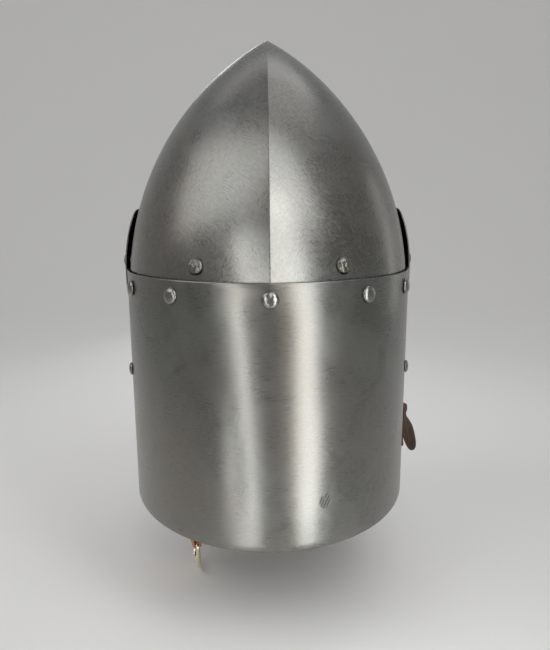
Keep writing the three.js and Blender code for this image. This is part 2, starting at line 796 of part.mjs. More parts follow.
// Prong: an eye on the bar and a flat tongue that rests on the foot of the frame
function buckleProng() {
  const outer = eyeRadius + prongEye;
  const inside = buckleWire + barGap;
  const outline = new THREE.Shape();
  outline.absarc(0, 0, outer, 0, (3 * Math.PI) / 2, false);
  outline.lineTo(inside, -outer);
  outline.lineTo(inside, -buckleLength);
  outline.lineTo(inside + prongWall / 2, -buckleLength - prongTip);
  outline.lineTo(inside + prongWall, -buckleLength);
  outline.lineTo(Math.max(outer, inside + prongWall), -eyeRadius);
  const eye = new THREE.Path();
  eye.absarc(0, 0, eyeRadius, 0, 2 * Math.PI, false);
  outline.holes.push(eye);
  return prism(outline, prongWidth, axisX, axisZ);
}

const tabBase = seatGap + backingWall + seatGap;

// Leather tab outside the plate, cut to a leaf that is broadest below its middle
function tabGeometry(base, wall, drop, halfWidth, slope, slotted) {
  const offset = (d) => base + strapOffset(d, slope, tabBendStart, tabBendEnd);
  const outline = new THREE.Shape([
    ...strapFace(drop, -tabTopRadius, offset, tabSteps),
    ...strapFace(-tabTopRadius, drop, (d) => offset(d) + wall, tabSteps),
  ]);
  const waist = -drop * leafWaistShare;
  const broad = -drop * leafBroadShare;
  const tip = halfWidth * leafTipShare;
  const leaf = new THREE.Shape();
  leaf.absarc(0, 0, tabTopRadius, 0, Math.PI, false);
  leaf.quadraticCurveTo(-halfWidth, waist, -halfWidth, broad);
  leaf.quadraticCurveTo(-tip, -drop, 0, -drop);
  leaf.quadraticCurveTo(tip, -drop, halfWidth, broad);
  leaf.quadraticCurveTo(halfWidth, waist, tabTopRadius, 0);
  let body = solid(prism(outline, 2 * halfWidth, axisX, axisZ));
  body = body.intersect(solid(prism(leaf, 4 * drop, axisY, axisZ, tabSteps)));
  const centre = new THREE.Vector3();
  body = drill(body, { point: centre, outward: axisX.clone().negate() }, tabRivet, 2 * drop);
  if (slotted) {
    const slot = new THREE.BoxGeometry(4 * drop, tabSlotWidth, tabSlotLength);
    slot.translate(0, 0, tabSlotMargin + tabSlotLength / 2 - drop);
    body = body.subtract(solid(slot));
  }
  const matrix = new THREE.Matrix4().setPosition(tabSeat.point);
  return geometryOf(body).applyMatrix4(matrix);
}

// Seat of the stud on the visor's side, level with the tab's rivet
function studSeat() {
  const depth = visorPoint(180, tabHeight, 0).y - visorRidge;
  const angle = 90 + THREE.MathUtils.radToDeg(Math.asin(studForward / depth));
  return levelSeatOn(visorPoint, angle, tabHeight);
}

function studGeometry() {
  const neckTop = seatGap + studNeckLength;
  return turned([
    [0, -visorWall],
    [studNeck, -visorWall],
    [studNeck, neckTop],
    [studHead, neckTop + studHeadRise * studRimShare],
    [studHead * studCrownShare, neckTop + studHeadRise * studCrownRiseShare],
    [0, neckTop + studHeadRise],
  ]);
}

add("skull", skull(), steel);
add("back_plate", backPlate(), steel);
add("visor", visor(), steel);

const seamEndTurn = THREE.MathUtils.radToDeg(seamRivet.end / seamHalfWidth);
seamSeats.forEach((seat, i) => {
  const grip = depthBelow(seat, skullPoint(seat.angle + seamEndTurn, seamRivetHeight, skullWall));
  add(`seam_rivet_${i + 1}`, placeOn(rivetGeometry(seamRivet, grip, endGap), seat), rivetSteel);
});

for (const seat of linerSeats) {
  const inside = depthBelow(seat, linerPoint(seat.angle, -0.5, linerWall)) + endGap;
  const ring = ringGeometry(washerRadius, linerRivet.shank + boltGap, inside, inside + washerWall);
  const rivet = rivetGeometry(linerRivet, inside + washerWall, seatGap);
  add(`liner_rivet_${seat.name}`, placeOn(rivet, seat), rivetSteel);
  add(`liner_washer_${seat.name}`, placeOn(ring, seat), rivetSteel);
}

for (const seat of strapSeats) {
  const inside = plateWall + strapWallGap + strapWall + seatGap;
  const ring = ringGeometry(washerRadius, strapRivet.shank + boltGap, inside, inside + washerWall);
  const rivet = rivetGeometry(strapRivet, inside + washerWall, seatGap);
  add(`chin_strap_rivet_${seat.name}`, placeOn(rivet, seat), rivetSteel);
  add(`chin_strap_washer_${seat.name}`, placeOn(ring, seat), rivetSteel);
}

for (const seat of pivotSeats) {
  const skullSide = depthBelow(seat, skullPoint(seat.outward.x * 90, pivotHeight - spacerRadius, 0));
  const visorSide = depthBelow(seat, visorPoint(seat.outward.x * 90, pivotHeight + spacerRadius, visorWall));
  const hole = pivotRivet.shank + boltGap;
  const spacer = ringGeometry(spacerRadius, hole, visorSide + seatGap, skullSide - seatGap);
  const inside = pivotSpan + endGap;
  const ring = ringGeometry(washerRadius, hole, inside, inside + washerWall);
  const rivet = rivetGeometry(pivotRivet, inside + washerWall, seatGap);
  add(`visor_pivot_${seat.name}`, placeOn(rivet, seat), rivetSteel);
  add(`pivot_spacer_${seat.name}`, placeOn(spacer, seat), rivetSteel);
  add(`pivot_washer_${seat.name}`, placeOn(ring, seat), rivetSteel);
}

add("liner", liner(), tanLeather);
add("liner_lace", linerLace(), darkLeather);

const leftStrap = strapFrame(strapSeats[0]);
const rightStrap = strapFrame(strapSeats[1]);
const toBar = new THREE.Matrix4().makeTranslation(barOffset, 0, -buckleDrop);
add("chin_strap_left", buckleStrap().applyMatrix4(leftStrap), tanLeather);
add("chin_strap_right", tongueStrap().applyMatrix4(rightStrap), tanLeather);
add("buckle_frame", buckleFrame().applyMatrix4(toBar).applyMatrix4(leftStrap), paleBrass);
add("buckle_prong", buckleProng().applyMatrix4(toBar).applyMatrix4(leftStrap), paleBrass);
const foldGrip = 2 * strapWall + seatGap;
const fold = placeOn(rivetGeometry(foldRivet, foldGrip, seatGap), foldSeat()).applyMatrix4(leftStrap);
add("buckle_fold_rivet", fold, rivetSteel);

const tabWasher = plateWall + endGap;
const tabRing = ringGeometry(washerRadius, tabRivet.shank + boltGap, tabWasher, tabWasher + washerWall);
const tabStack = tabBase + tabWall;
const tabHead = { point: tabSeat.point.clone().addScaledVector(axisX, tabStack), outward: axisX };
const tabGrip = tabStack + tabWasher + washerWall;
add("visor_strap", tabGeometry(tabBase, tabWall, tabDrop, tabHalfWidth, tabSlope, true), darkLeather);
const backing = tabGeometry(seatGap, backingWall, backingDrop, backingHalfWidth, backingSlope, false);
add("visor_strap_backing", backing, darkLeather);
add("visor_strap_rivet", placeOn(rivetGeometry(tabRivet, tabGrip, seatGap), tabHead), rivetSteel);
add("visor_strap_washer", placeOn(tabRing, tabSeat), rivetSteel);
add("visor_stud", placeOn(studGeometry(), studSeat()), rivetSteel);

export default helmet;
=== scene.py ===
import math

import bpy
import numpy as np
from bpy.props import FloatProperty, FloatVectorProperty, PointerProperty
from mathutils import Matrix, Vector
from mathutils.geometry import delaunay_2d_cdt
from mathutils.kdtree import KDTree


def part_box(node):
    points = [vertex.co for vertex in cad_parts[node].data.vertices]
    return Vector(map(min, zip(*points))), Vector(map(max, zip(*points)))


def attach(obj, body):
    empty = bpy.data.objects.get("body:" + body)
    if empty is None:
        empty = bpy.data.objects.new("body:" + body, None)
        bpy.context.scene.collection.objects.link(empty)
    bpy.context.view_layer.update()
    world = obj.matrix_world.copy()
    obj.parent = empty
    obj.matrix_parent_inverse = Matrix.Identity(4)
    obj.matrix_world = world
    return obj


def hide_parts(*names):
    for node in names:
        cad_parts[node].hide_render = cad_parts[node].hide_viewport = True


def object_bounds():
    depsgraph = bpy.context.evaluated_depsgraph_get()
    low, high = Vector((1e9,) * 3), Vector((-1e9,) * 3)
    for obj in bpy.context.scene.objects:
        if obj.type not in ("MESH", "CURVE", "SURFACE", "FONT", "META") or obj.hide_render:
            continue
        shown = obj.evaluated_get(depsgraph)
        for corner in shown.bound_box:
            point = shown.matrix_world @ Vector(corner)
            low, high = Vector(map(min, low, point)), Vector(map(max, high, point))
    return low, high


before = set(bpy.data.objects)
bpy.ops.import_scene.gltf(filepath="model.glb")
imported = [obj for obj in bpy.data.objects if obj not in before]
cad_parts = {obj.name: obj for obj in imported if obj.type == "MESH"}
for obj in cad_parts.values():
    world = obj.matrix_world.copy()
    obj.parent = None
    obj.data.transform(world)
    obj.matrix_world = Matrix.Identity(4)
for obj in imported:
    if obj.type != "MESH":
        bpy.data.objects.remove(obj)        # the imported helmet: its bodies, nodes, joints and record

bl_info = {
    "name": "Pointed Steel Helmet",
    "version": (1, 0, 0),
    "blender": (4, 5, 0),
    "location": "3D View > Sidebar > Helmet",
    "description": "Fine shells, rivets, leather and finishes over the solids of a riveted helmet",
    "category": "Object",
}

cad_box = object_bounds()

# Shapes are worked out in millimetres and written to meshes in metres
MM = 0.001

# Sizes that the frame gives
plate_low, plate_high = (np.array(corner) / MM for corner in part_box("back_plate"))
skull_high = np.array(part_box("skull")[1]) / MM
APEX_HEIGHT = skull_high[2]
SEAM_HEIGHT = plate_high[2]
SEAM_HALF_WIDTH = plate_high[0]
RIM_BACK_DEPTH = -plate_low[1]

# Skull and back plate
RIM_HALF_WIDTH = 106.5
SEAM_BACK_DEPTH = 132
SEAM_FRONT_DEPTH = 132
PLATE_WALL = 1.6
SKULL_WALL = 1.6
SEAT_GAP = 0.3
SEAT_STEP = 0.5
END_GAP = 0.75
SPRING_DROP = 12.5
SKULL_LAP = 24.5
KEEL_AT_SEAM_SHARE = 0.045
KEEL_AT_APEX_SHARE = 0.25
KEEL_SPREAD_AT_SEAM_SHARE = 0.2
KEEL_SPREAD_AT_APEX_SHARE = 1.2
KEEL_SOFT_AT_SEAM_SHARE = 0.0012
KEEL_SOFT_AT_APEX_SHARE = 0.004
KEEL_FADE = 30
PLATE_KEEL_SHARE = 0.35
FACE_SIDE_MARGIN = 14
FACE_RISE = 12
FACE_CORNER = 34
PLATE_WRAP = 105

# Marks in the steel and the leather: directions and size of the hand sanding, how deep the marks and the
# grain are, and the scuff's place on the plate's flat pattern, its reach, slant, spacing and depth. Lengths
# are in metres here
SANDING_ANGLES = (38, -55)
SANDING_STRETCH_SHARE = 0.16
SANDING_SWEEP = 0.014
SANDING_TINT_SHARE = 0.45
MARK_TONE_SHARE = 0.6
STEEL_MARK_DEPTH = 0.0002
LEATHER_GRAIN_DEPTH = 0.0004
SCUFF_PLACE = (math.radians(19.0) * SEAM_FRONT_DEPTH * MM, 0.031)
SCUFF_REACH = 0.0055
SCUFF_SLANT = 55
SCUFF_BANDS = 140.0
SCUFF_DEPTH = 0.002
SCUFF_CORE_SHARE = 0.1

# Visor
VISOR_WALL = 1.5
VISOR_SIDE_GAP = 0.6
VISOR_BROW_GAP = 8
VISOR_SIDE_RADIUS = 125
VISOR_BROW_RADIUS = 118
VISOR_CHIN_REACH = 8
VISOR_RIDGE = 7
VISOR_RIDGE_SPREAD = 24
VISOR_RIDGE_SOFTNESS = 0.8
VISOR_FOOT = 4
VISOR_REAR = 15
VISOR_REAR_DROP = 50
VISOR_EAR_REAR = -12
VISOR_EAR_DROP = 16
VISOR_EAR_RISE = 27
VISOR_SIDE_RISE = 40
VISOR_BROW_RISE = 46
VISOR_EAR_CORNER = 14
PIVOT_RISE = 5.5
PIVOT_HOLE = 2.9
PIVOT_HEAD_GAP = 0.15
SIGHT_INNER = 11
SIGHT_OUTER = 86
SIGHT_DROP = 11
SIGHT_WIDTH = 9
BREATH_RADIUS = 3
BREATH_INNER = 22
BREATH_PITCH = 15
BREATH_FOOT = 58
BREATH_ROWS = 3
BREATH_COLUMNS = 4

# Rivets: head radius and rise, shank radius, radius and rise of the peened end, flat share of the top
SEAM_RIVET = {"head": 5.7, "rise": 3.4, "shank": 2.4, "end": 3.8, "end_rise": 1.2, "top_share": 0.04}
LINER_RIVET = {"head": 5.8, "rise": 3.3, "shank": 2, "end": 3.2, "end_rise": 1, "top_share": 0.2}
STRAP_RIVET = {"head": 4.9, "rise": 2.6, "shank": 2, "end": 3.4, "end_rise": 1.1, "top_share": 0.04}
PIVOT_RIVET = {"head": 4.8, "rise": 2.2, "shank": 2.6, "end": 4, "end_rise": 1.4, "top_share": 0.2}
FOLD_RIVET = {"head": 2.8, "rise": 1, "shank": 1.2, "end": 2.4, "end_rise": 0.8, "top_share": 0.3}
TAB_RIVET = {"head": 3.5, "rise": 1.2, "shank": 2, "end": 3.4, "end_rise": 1.1, "top_share": 0.2}
RIVET_EDGE_SHARE = 0.2
RIVET_FOOT_SHARE = 0.86
RIVET_UNDERCUT = 0.3
RIVET_END_ROUNDNESS = 0.8
NUB_TOP_SHARE = 0.9
NUB_RISE_SHARE = 0.3
DENT_WAVES = (1.1, 1.3)
DENT_FINE_WAVES = (2.3, 2.1)
DENT_PHASE = 1.7
RING_SOFTNESS = 0.2
SEAM_RIVET_DROP = 10.5
SEAM_RIVET_ANGLES = (-64, -36.2, 0, 36.2, 64)
LINER_RIVET_ANGLE = 26.6
STRAP_RIVET_ANGLE = 74
STRAP_RIVET_HEIGHT = 98
BOLT_GAP = 0.3
WASHER_RADIUS = 5
WASHER_WALL = 0.9
SPACER_RADIUS = 4.8

# Liner and lace. Its shares run from -1 at the band's foot through 0 at the band's top to 1 at the crown
LINER_WALL = 2.4
LINER_GAP = 0.5
BAND_RISE = 38.5
BAND_TILT = 33
BAND_HALF_HEIGHT = 10
CROWN_DROP = 57.5
CROWN_RADIUS = 20
LOBE_SHOULDER_SHARE = 0.75
LOBE_COUNT = 8
LOBE_LENGTH = 110
LOBE_SAG = 1.6
LOBE_RIPPLE = 0.25
RIPPLE_WAVES = (7, 3)
RIPPLE_TURN = 2.1
BAND_RIVET_SHARE = -0.5
SAG_SHARES = (0.15, 0.6)
SAG_END_SHARES = (0.8, 1.0)
RIPPLE_SHARES = (0.1, 0.4)
NOTCH_AT_CROWN = 12
NOTCH_AT_BAND = 2.4
NOTCH_START_SHARE = 0.25
LACE_RADIUS = 1.2
LACE_SHARE = 0.86
LACE_WAVE = 6.6

# Chin strap and buckle. The prong's taper gives shares of its half width and distances from its tip
STRAP_WIDTH = 20
STRAP_WALL = 2.4
STRAP_WALL_GAP = 0.95
STRAP_CORNER = 3.0
FOLD_CORNER = 4.0
STRAP_TAB = 9
STRAP_BEND = (10, 40)
STRAP_SLOPE = 0.3
BUCKLE_DROP = 145
TONGUE_DROP = 136
TONGUE_POINT = 9
TONGUE_HOLES = 5
TONGUE_HOLE_PITCH = 14
TONGUE_HOLE_RADIUS = 1.8
TONGUE_HOLE_MARGIN = 18
FOLD_LENGTH = 28
FOLD_TAPER = 12
FOLD_RIVET_RISE = 19
FOLD_EASE_SHARE = 0.4
BUCKLE_WIRE = 1.5
BUCKLE_HALF_WIDTH = 12.5
BUCKLE_LENGTH = 19.5
BUCKLE_TOP_CORNER = 2
BUCKLE_FOOT_CORNER = 6
PRONG_WIDTH = 3.4
PRONG_WALL = 1.6
PRONG_TIP = 2.2
PRONG_TAPER = ((1, 5), (0.75, 1.6), (0.4, 0.3))
PRONG_CURL = 1.75 * math.pi
PRONG_START_SHARE = 0.6
BAR_GAP = 0.3
SLOT_GAP = 0.6

# Visor strap, backing and stud. The bend is between two drops below the rivet
TAB_HEIGHT = 54
TAB_DROP = 37
TAB_WALL = 3
TAB_TOP_RADIUS = 4.2
TAB_HALF_WIDTH = 9
TAB_SLOPE = 0.29
TAB_BEND = (2, 12)
TAB_SLOT = (2, 9)
TAB_SLOT_MARGIN = 8
TAB_LEAN_SHARES = (0.1, 0.55)
BACKING_WALL = 2.4
BACKING_DROP = 33
BACKING_HALF_WIDTH = 7.5
BACKING_SLOPE = 0.09
STUD_FORWARD = 30
STUD_HEAD = 4
STUD_NECK = 2
STUD_NECK_LENGTH = 5
STUD_HEAD_RISE = 3
STUD_EDGE = 0.4
STUD_RIM = 1
STUD_RIM_EDGE = (0.2, 0.7)
LEAF_WAIST_SHARE = 0.3
LEAF_BROAD_SHARE = 0.6
LEAF_TIP_SHARE = 0.9

# How finely the pieces are drawn: rows, columns, sides, spacings in millimetres, and the angles or lengths
# beside a ridge or an edge at which a shell has points of its own
SKULL_RIDGE_ANGLES = (0.06, 0.15, 0.3, 0.6, 1.0, 1.8)
SKULL_JAMB_ANGLES = (0.2, 0.7, 1.6)
SKULL_ROWS = 66
SKULL_COLUMN_ANGLE = 3.0
PLATE_RIDGE_ANGLES = (0.12, 0.3, 0.6, 1.0, 1.8)
PLATE_ROWS = 44
PLATE_COLUMNS = 106
VISOR_SPACING = 4.0
VISOR_ANGLES = (60, 300, 2401)
VISOR_STEP_POINTS = 15
VISOR_TOP_POINTS = 40
VISOR_TOP_PASSES = 4
VISOR_RIDGE_COLUMNS = (-4.0, -2.2, -1.2, -0.5, 0.0, 0.5, 1.2, 2.2, 4.0)
LOBE_ROWS = 44
LOBE_EDGE_SHARES = (0, 0.02, 0.06, 0.14)
LOBE_MIDDLE_COLUMNS = (-0.78, 0.78, 13)
BAND_SHARES = (-0.85, 0, 8)
LACE_SIDES = 12
STRAP_SPACING = 2.0
BUCKLE_SIDES = 18
BUCKLE_SPACING = 1.2
PRONG_SPACING = 0.9
TAB_SPACING = 1.6
SURROUND_SIDES = 96

# Places that follow from the sizes
SPRING_HEIGHT = SEAM_HEIGHT - SPRING_DROP
SKULL_FOOT = SEAM_HEIGHT - SKULL_LAP
SEAM_RIVET_HEIGHT = SEAM_HEIGHT - SEAM_RIVET_DROP
PIVOT_HEIGHT = SEAM_HEIGHT + PIVOT_RISE
BAND_HEIGHT = SEAM_HEIGHT + BAND_RISE
CROWN_HEIGHT = APEX_HEIGHT - CROWN_DROP
WIDTH_TAPER = (SEAM_HALF_WIDTH - RIM_HALF_WIDTH) / SEAM_HEIGHT
BACK_LEAN = (RIM_BACK_DEPTH - SEAM_BACK_DEPTH) / SEAM_HEIGHT

# Camera at the photographed angle
CAMERA_LENS = 39.36
CAMERA_DISTANCE = 569.85
CAMERA_HEIGHT = 218.8
CAMERA_OFFSET = 5.31
CAMERA_PITCH = 0.164
CAMERA_YAW = 0.019
CAMERA_ROLL = -0.005

WARM, COOL, PLAIN = (1.0, 0.94, 0.86), (0.95, 0.98, 1.0), (1.0, 1.0, 1.0)
WORLD_TINT = (0.95, 0.97, 1.0)

# Lamps: name, place, aim, size, radiance, tint, and the angle of the grid and the lean in degrees
LAMPS = (
    ("strip_right", (0.200, -0.376, 0.215), (0.045, -0.121, 0.215), (0.08, 0.565), 5.0, COOL, 130, 0),
    ("strip_warm", (0.151, -0.406, 0.215), (-0.004, -0.151, 0.215), (0.035, 0.565), 4.6, WARM, 130, 0),
    ("strip_left", (-0.162, -0.40, 0.137), (-0.02, -0.13, 0.117), (0.05, 0.44), 5.4, PLAIN, 130, 22),
    ("low_left", (-0.19, -0.355, -0.01), (-0.03, -0.17, -0.03), (0.05, 0.1), 3.0, PLAIN, 130, 0),
    ("low_right", (0.235, -0.345, -0.01), (0.06, -0.17, -0.03), (0.05, 0.1), 3.4, PLAIN, 130, 0),
    ("near_left", (-0.07, -0.275, -0.035), (-0.015, -0.135, 0.0), (0.07, 0.06), 1.8, PLAIN, 130, 0),
    ("near_right", (0.112, -0.262, -0.035), (0.032, -0.127, 0.0), (0.06, 0.06), 2.5, PLAIN, 130, 0),
    ("high_right", (0.58, -0.62, 1.0), (0.0, 0.0, 0.25), (0.5, 0.85), 3.0, COOL, 90, 0),
    ("high_left", (-0.85, -0.33, 0.95), (0.0, 0.0, 0.25), (1.1, 0.75), 1.9, PLAIN, 100, 18),
    ("crest", (0.02, -0.7, 0.82), (0.0, -0.1, 0.25), (0.12, 0.95), 3.0, PLAIN, 90, 0),
    ("overhead", (0.45, 0.3, 1.5), (0.0, 0.1, 0.1), (0.9, 0.9), 0.6, PLAIN, 180, 0),
    ("edge_right", (1.0, 0.55, 0.35), (0.1, 0.0, 0.2), (0.16, 0.7), 1.0, PLAIN, 100, 0),
    ("front", (-0.12, 1.15, 0.4), (0.0, 0.0, 0.15), (0.3, 0.8), 3.4, PLAIN, 100, 0),
    ("backdrop", (0.0, 1.0, 1.9), (0.0, 2.6, 0.4), (2.4, 0.6), 2.0, PLAIN, 180, 0),
)

# Surround: how far it runs flat, the radius of its bend and its height, in metres
SURROUND_FLAT, SURROUND_BEND, SURROUND_HEIGHT = 1.5, 1.5, 2.8


def points_of(*parts):
    """Array of points from its three coordinates."""
    return np.stack(np.broadcast_arrays(*parts), axis=-1).astype(float)


def smoothstep(value, low, high):
    share = np.clip((value - low) / (high - low), 0, 1)
    return share * share * (3 - 2 * share)


def bow(t, start, control, end):
    """Curve from start to end that is drawn towards one point."""
    return (1 - t) ** 2 * start + 2 * t * (1 - t) * control + t**2 * end


def double_bow(t, start, lead, tail, end):
    """Curve from start to end that is drawn towards two points."""
    return (1 - t) ** 3 * start + 3 * t * (1 - t) ** 2 * lead + 3 * t * t * (1 - t) * tail + t**3 * end


def keel_at(height):
    """Ridge at one height: its share of the depth, its spread and the width over which it is soft."""
    fade = smoothstep(height, SEAM_HEIGHT - KEEL_FADE, SEAM_HEIGHT)
    climb = smoothstep(height, SEAM_HEIGHT, APEX_HEIGHT)
    share = fade * (KEEL_AT_SEAM_SHARE + (KEEL_AT_APEX_SHARE - KEEL_AT_SEAM_SHARE) * climb)
    spread = KEEL_SPREAD_AT_SEAM_SHARE + (KEEL_SPREAD_AT_APEX_SHARE - KEEL_SPREAD_AT_SEAM_SHARE) * climb
    soft = KEEL_SOFT_AT_SEAM_SHARE + (KEEL_SOFT_AT_APEX_SHARE - KEEL_SOFT_AT_SEAM_SHARE) * climb
    return share, spread, soft


def section(angle, height, half_width, back_depth, front_depth, keel):
    """Plan section with a ridge at the back and the front that falls off to the sides."""
    share, spread, soft = keel
    turn = np.radians(angle)
    across, along = np.sin(turn), np.cos(turn)
    depth = np.where(along > 0, back_depth, front_depth)
    beside = (np.sqrt(across**2 + soft**2) - soft) / (np.sqrt(1 + soft**2) - soft)
    side = np.exp(-1 / spread)
    ridge = (np.exp(-beside / spread) - side) / (1 - side)
    reach = (1 - share) * along + np.sign(along) * share * ridge
    return points_of(half_width * across, -depth * reach, height)


def plate_half_width(height):
    return RIM_HALF_WIDTH + WIDTH_TAPER * height


def plate_back_depth(height):
    return RIM_BACK_DEPTH - BACK_LEAN * height


def plate_point(angle, height, inset):
    """Back plate's surface, inset from its outside."""
    half_width = plate_half_width(height) - inset
    back_depth = plate_back_depth(height) - inset
    share, spread, soft = keel_at(height)
    keel = (share * PLATE_KEEL_SHARE, spread, soft)
    return section(angle, height, half_width, back_depth, SEAM_FRONT_DEPTH - inset, keel)


def arc_drop(radius, height):
    """How far an arc has fallen back at a height above its spring."""
    return radius - np.sqrt(np.maximum(radius * radius - height * height, 0))


SKULL_RISE = APEX_HEIGHT - SPRING_HEIGHT
SKULL_HALF_WIDTH = plate_half_width(SPRING_HEIGHT) - PLATE_WALL - SEAT_GAP
SKULL_BACK_DEPTH = plate_back_depth(SEAM_HEIGHT) - PLATE_WALL - SEAT_GAP
SKULL_FRONT_DEPTH = SEAM_FRONT_DEPTH - PLATE_WALL - SEAT_GAP


def ogive_radius(half, rise):
    return (rise * rise + half * half) / (2 * half)


def skull_rise(inset):
    """Rise of the skull's pointed arch when it is inset from the outside."""
    radius = ogive_radius(SKULL_HALF_WIDTH, SKULL_RISE)
    return np.sqrt((radius - inset) ** 2 - (radius - SKULL_HALF_WIDTH) ** 2)


def skull_point(angle, height, inset):
    """Skull's surface: a pointed arch above its spring and a skirt inside the back plate below."""
    rise = skull_rise(inset)
    above = np.clip(height - SPRING_HEIGHT, 0, rise)
    below = np.maximum(SPRING_HEIGHT - height, 0)

    def arch(half):
        return half - inset - arc_drop(ogive_radius(half - inset, rise), above)

    half_width = arch(SKULL_HALF_WIDTH) - WIDTH_TAPER * below
    back_depth = arch(SKULL_BACK_DEPTH) + BACK_LEAN * below
    level = SPRING_HEIGHT + above - below
    return section(angle, level, half_width, back_depth, arch(SKULL_FRONT_DEPTH), keel_at(height))


def brow_depth(height):
    """How far forward the visor's outside stands, without its ridge and before it falls back."""
    below = np.maximum(SEAM_HEIGHT - height, 0)
    return SEAM_FRONT_DEPTH + VISOR_BROW_GAP + VISOR_WALL + VISOR_CHIN_REACH * below / SEAM_HEIGHT


def visor_point(angle, height, inset):
    """Visor's surface, with a narrow ridge down its middle."""
    above = np.maximum(height - SEAM_HEIGHT, 0)
    below = np.maximum(SEAM_HEIGHT - height, 0)
    side = SEAM_HALF_WIDTH + VISOR_SIDE_GAP + VISOR_WALL - WIDTH_TAPER * below
    half_width = side - inset - arc_drop(VISOR_SIDE_RADIUS - inset, above)
    front_depth = brow_depth(height) - inset - arc_drop(VISOR_BROW_RADIUS - inset, above)
    turn = np.radians(angle)
    x = half_width * np.sin(turn)
    y = -np.where(np.cos(turn) > 0, plate_back_depth(height), front_depth) * np.cos(turn)
    soft = VISOR_RIDGE_SOFTNESS
    reach = np.sqrt(x * x + soft * soft) - soft
    y = y + np.where(y > 0, VISOR_RIDGE * np.exp(-reach / VISOR_RIDGE_SPREAD), 0)
    return points_of(x, y, height)


def visor_angle(y, height):
    """Angle at which the visor's outside passes a depth."""
    above = np.maximum(height - SEAM_HEIGHT, 0)
    front_depth = brow_depth(height) - arc_drop(VISOR_BROW_RADIUS, above)
    depth = np.where(y > 0, front_depth, plate_back_depth(height))
    return np.degrees(np.arccos(np.clip(-y / depth, -1, 1)))


def band_middle(angle):
    """Height of the liner band's middle, lower at the back than over the forehead."""
    return BAND_HEIGHT - BAND_TILT * np.cos(np.radians(angle))


def liner_point(angle, share, depth):
    """Liner's surface: a band on the skull below share 0, then lobes that curve in to the crown."""
    inset = SKULL_WALL + LINER_GAP + depth
    low = np.minimum(share, 0)
    band = skull_point(angle, band_middle(angle) + BAND_HALF_HEIGHT * (1 + 2 * low), inset)
    foot = skull_point(angle, band_middle(angle) + BAND_HALF_HEIGHT, inset)
    level = foot[..., 2] + (CROWN_HEIGHT - foot[..., 2]) * LOBE_SHOULDER_SHARE
    shoulder = skull_point(angle, level, inset)
    turn = np.radians(angle)
    crown = points_of(CROWN_RADIUS * np.sin(turn), -CROWN_RADIUS * np.cos(turn), CROWN_HEIGHT - depth)
    t = np.maximum(share, 0)[..., None] if np.ndim(share) else max(share, 0)
    rising = np.asarray(share > 0)[..., None]
    return np.where(rising, bow(t, foot, shoulder, crown), band)


def seat_on(surface, angle, height, level=False):
    """Point and outward direction on a surface."""
    point = surface(angle, height, 0)
    around = surface(angle + SEAT_STEP, height, 0) - surface(angle - SEAT_STEP, height, 0)
    up = surface(angle, height + SEAT_STEP, 0) - surface(angle, height - SEAT_STEP, 0)
    outward = np.cross(around, up)
    if level:
        outward[2] = 0
    return point, outward / np.linalg.norm(outward)


def depth_below(seat, point):
    return float(np.dot(seat[0] - point, seat[1]))


def lip(distance, radius):
    """How far a sheet's faces draw in near its edge, so that the edge is round."""
    inside = np.clip(radius - distance, 0, radius)
    return radius - np.sqrt(radius * radius - inside * inside)


def rotation_to(direction):
    """Matrix that turns +Z to a direction."""
    return np.array(Vector((0, 0, 1)).rotation_difference(Vector(direction)).to_matrix())


# Meshes

LIP_SHARES = (0, 0.12, 0.42, 1)
WELD = 0.0002
EDGE_SAMPLE = 0.2
EDGE_SPACING_SHARE = 0.7
EDGE_CLEARANCE_SHARE = 0.3
EDGE_SNAP = 1e-4
CIRCLE_SIDES = 20
DENT_FLOOR = 0.1
TURNED_SIDES = 40
RIVET_HEAD_STEPS = 14
RIVET_END_STEPS = 8


def make_mesh(name, points, faces, finishes, finish_index=None, uvs=None, rim=None):
    """Object from points in millimetres, with points that coincide welded together."""
    points = np.asarray(points, float)
    keys = np.round(points / WELD).astype(np.int64)
    _, first, back = np.unique(keys, axis=0, return_index=True, return_inverse=True)
    back = back.reshape(-1)
    kept_faces, kept_loops, kept_index = [], [], []
    for number, face in enumerate(faces):
        corners, loops = [], []
        for corner in face:
            place = int(back[corner])
            if place not in corners:
                corners.append(place)
                loops.append(corner)
        if len(corners) > 2:
            kept_faces.append(corners)
            kept_loops.extend(loops)
            kept_index.append(finish_index[number] if finish_index is not None else 0)
    mesh = bpy.data.meshes.new(name)
    mesh.from_pydata((points[first] * MM).tolist(), [], kept_faces)
    for material in finishes:
        mesh.materials.append(material)
    mesh.polygons.foreach_set("material_index", kept_index)
    mesh.polygons.foreach_set("use_smooth", [True] * len(kept_faces))
    if uvs is not None:
        layer = mesh.uv_layers.new(name="UVMap")
        layer.data.foreach_set("uv", (np.asarray(uvs)[kept_loops] * MM).ravel().astype(np.float32))
    if rim is not None:
        attribute = mesh.attributes.new("rim", "FLOAT", "POINT")
        attribute.data.foreach_set("value", np.asarray(rim)[first].astype(np.float32))
    mesh.update()
    mesh.validate()
    piece = bpy.data.objects.new(name, mesh)
    bpy.context.scene.collection.objects.link(piece)
    return piece


def grid_faces(rows, columns, start, wrap, flip=False):
    """Quads of a grid of points that are stored row by row."""
    faces = []
    for row in range(rows - 1):
        for column in range(columns if wrap else columns - 1):
            beside = (column + 1) % columns
            a, b = start + row * columns + column, start + row * columns + beside
            c, d = b + columns, a + columns
            faces.append((a, d, c, b) if flip else (a, b, c, d))
    return faces


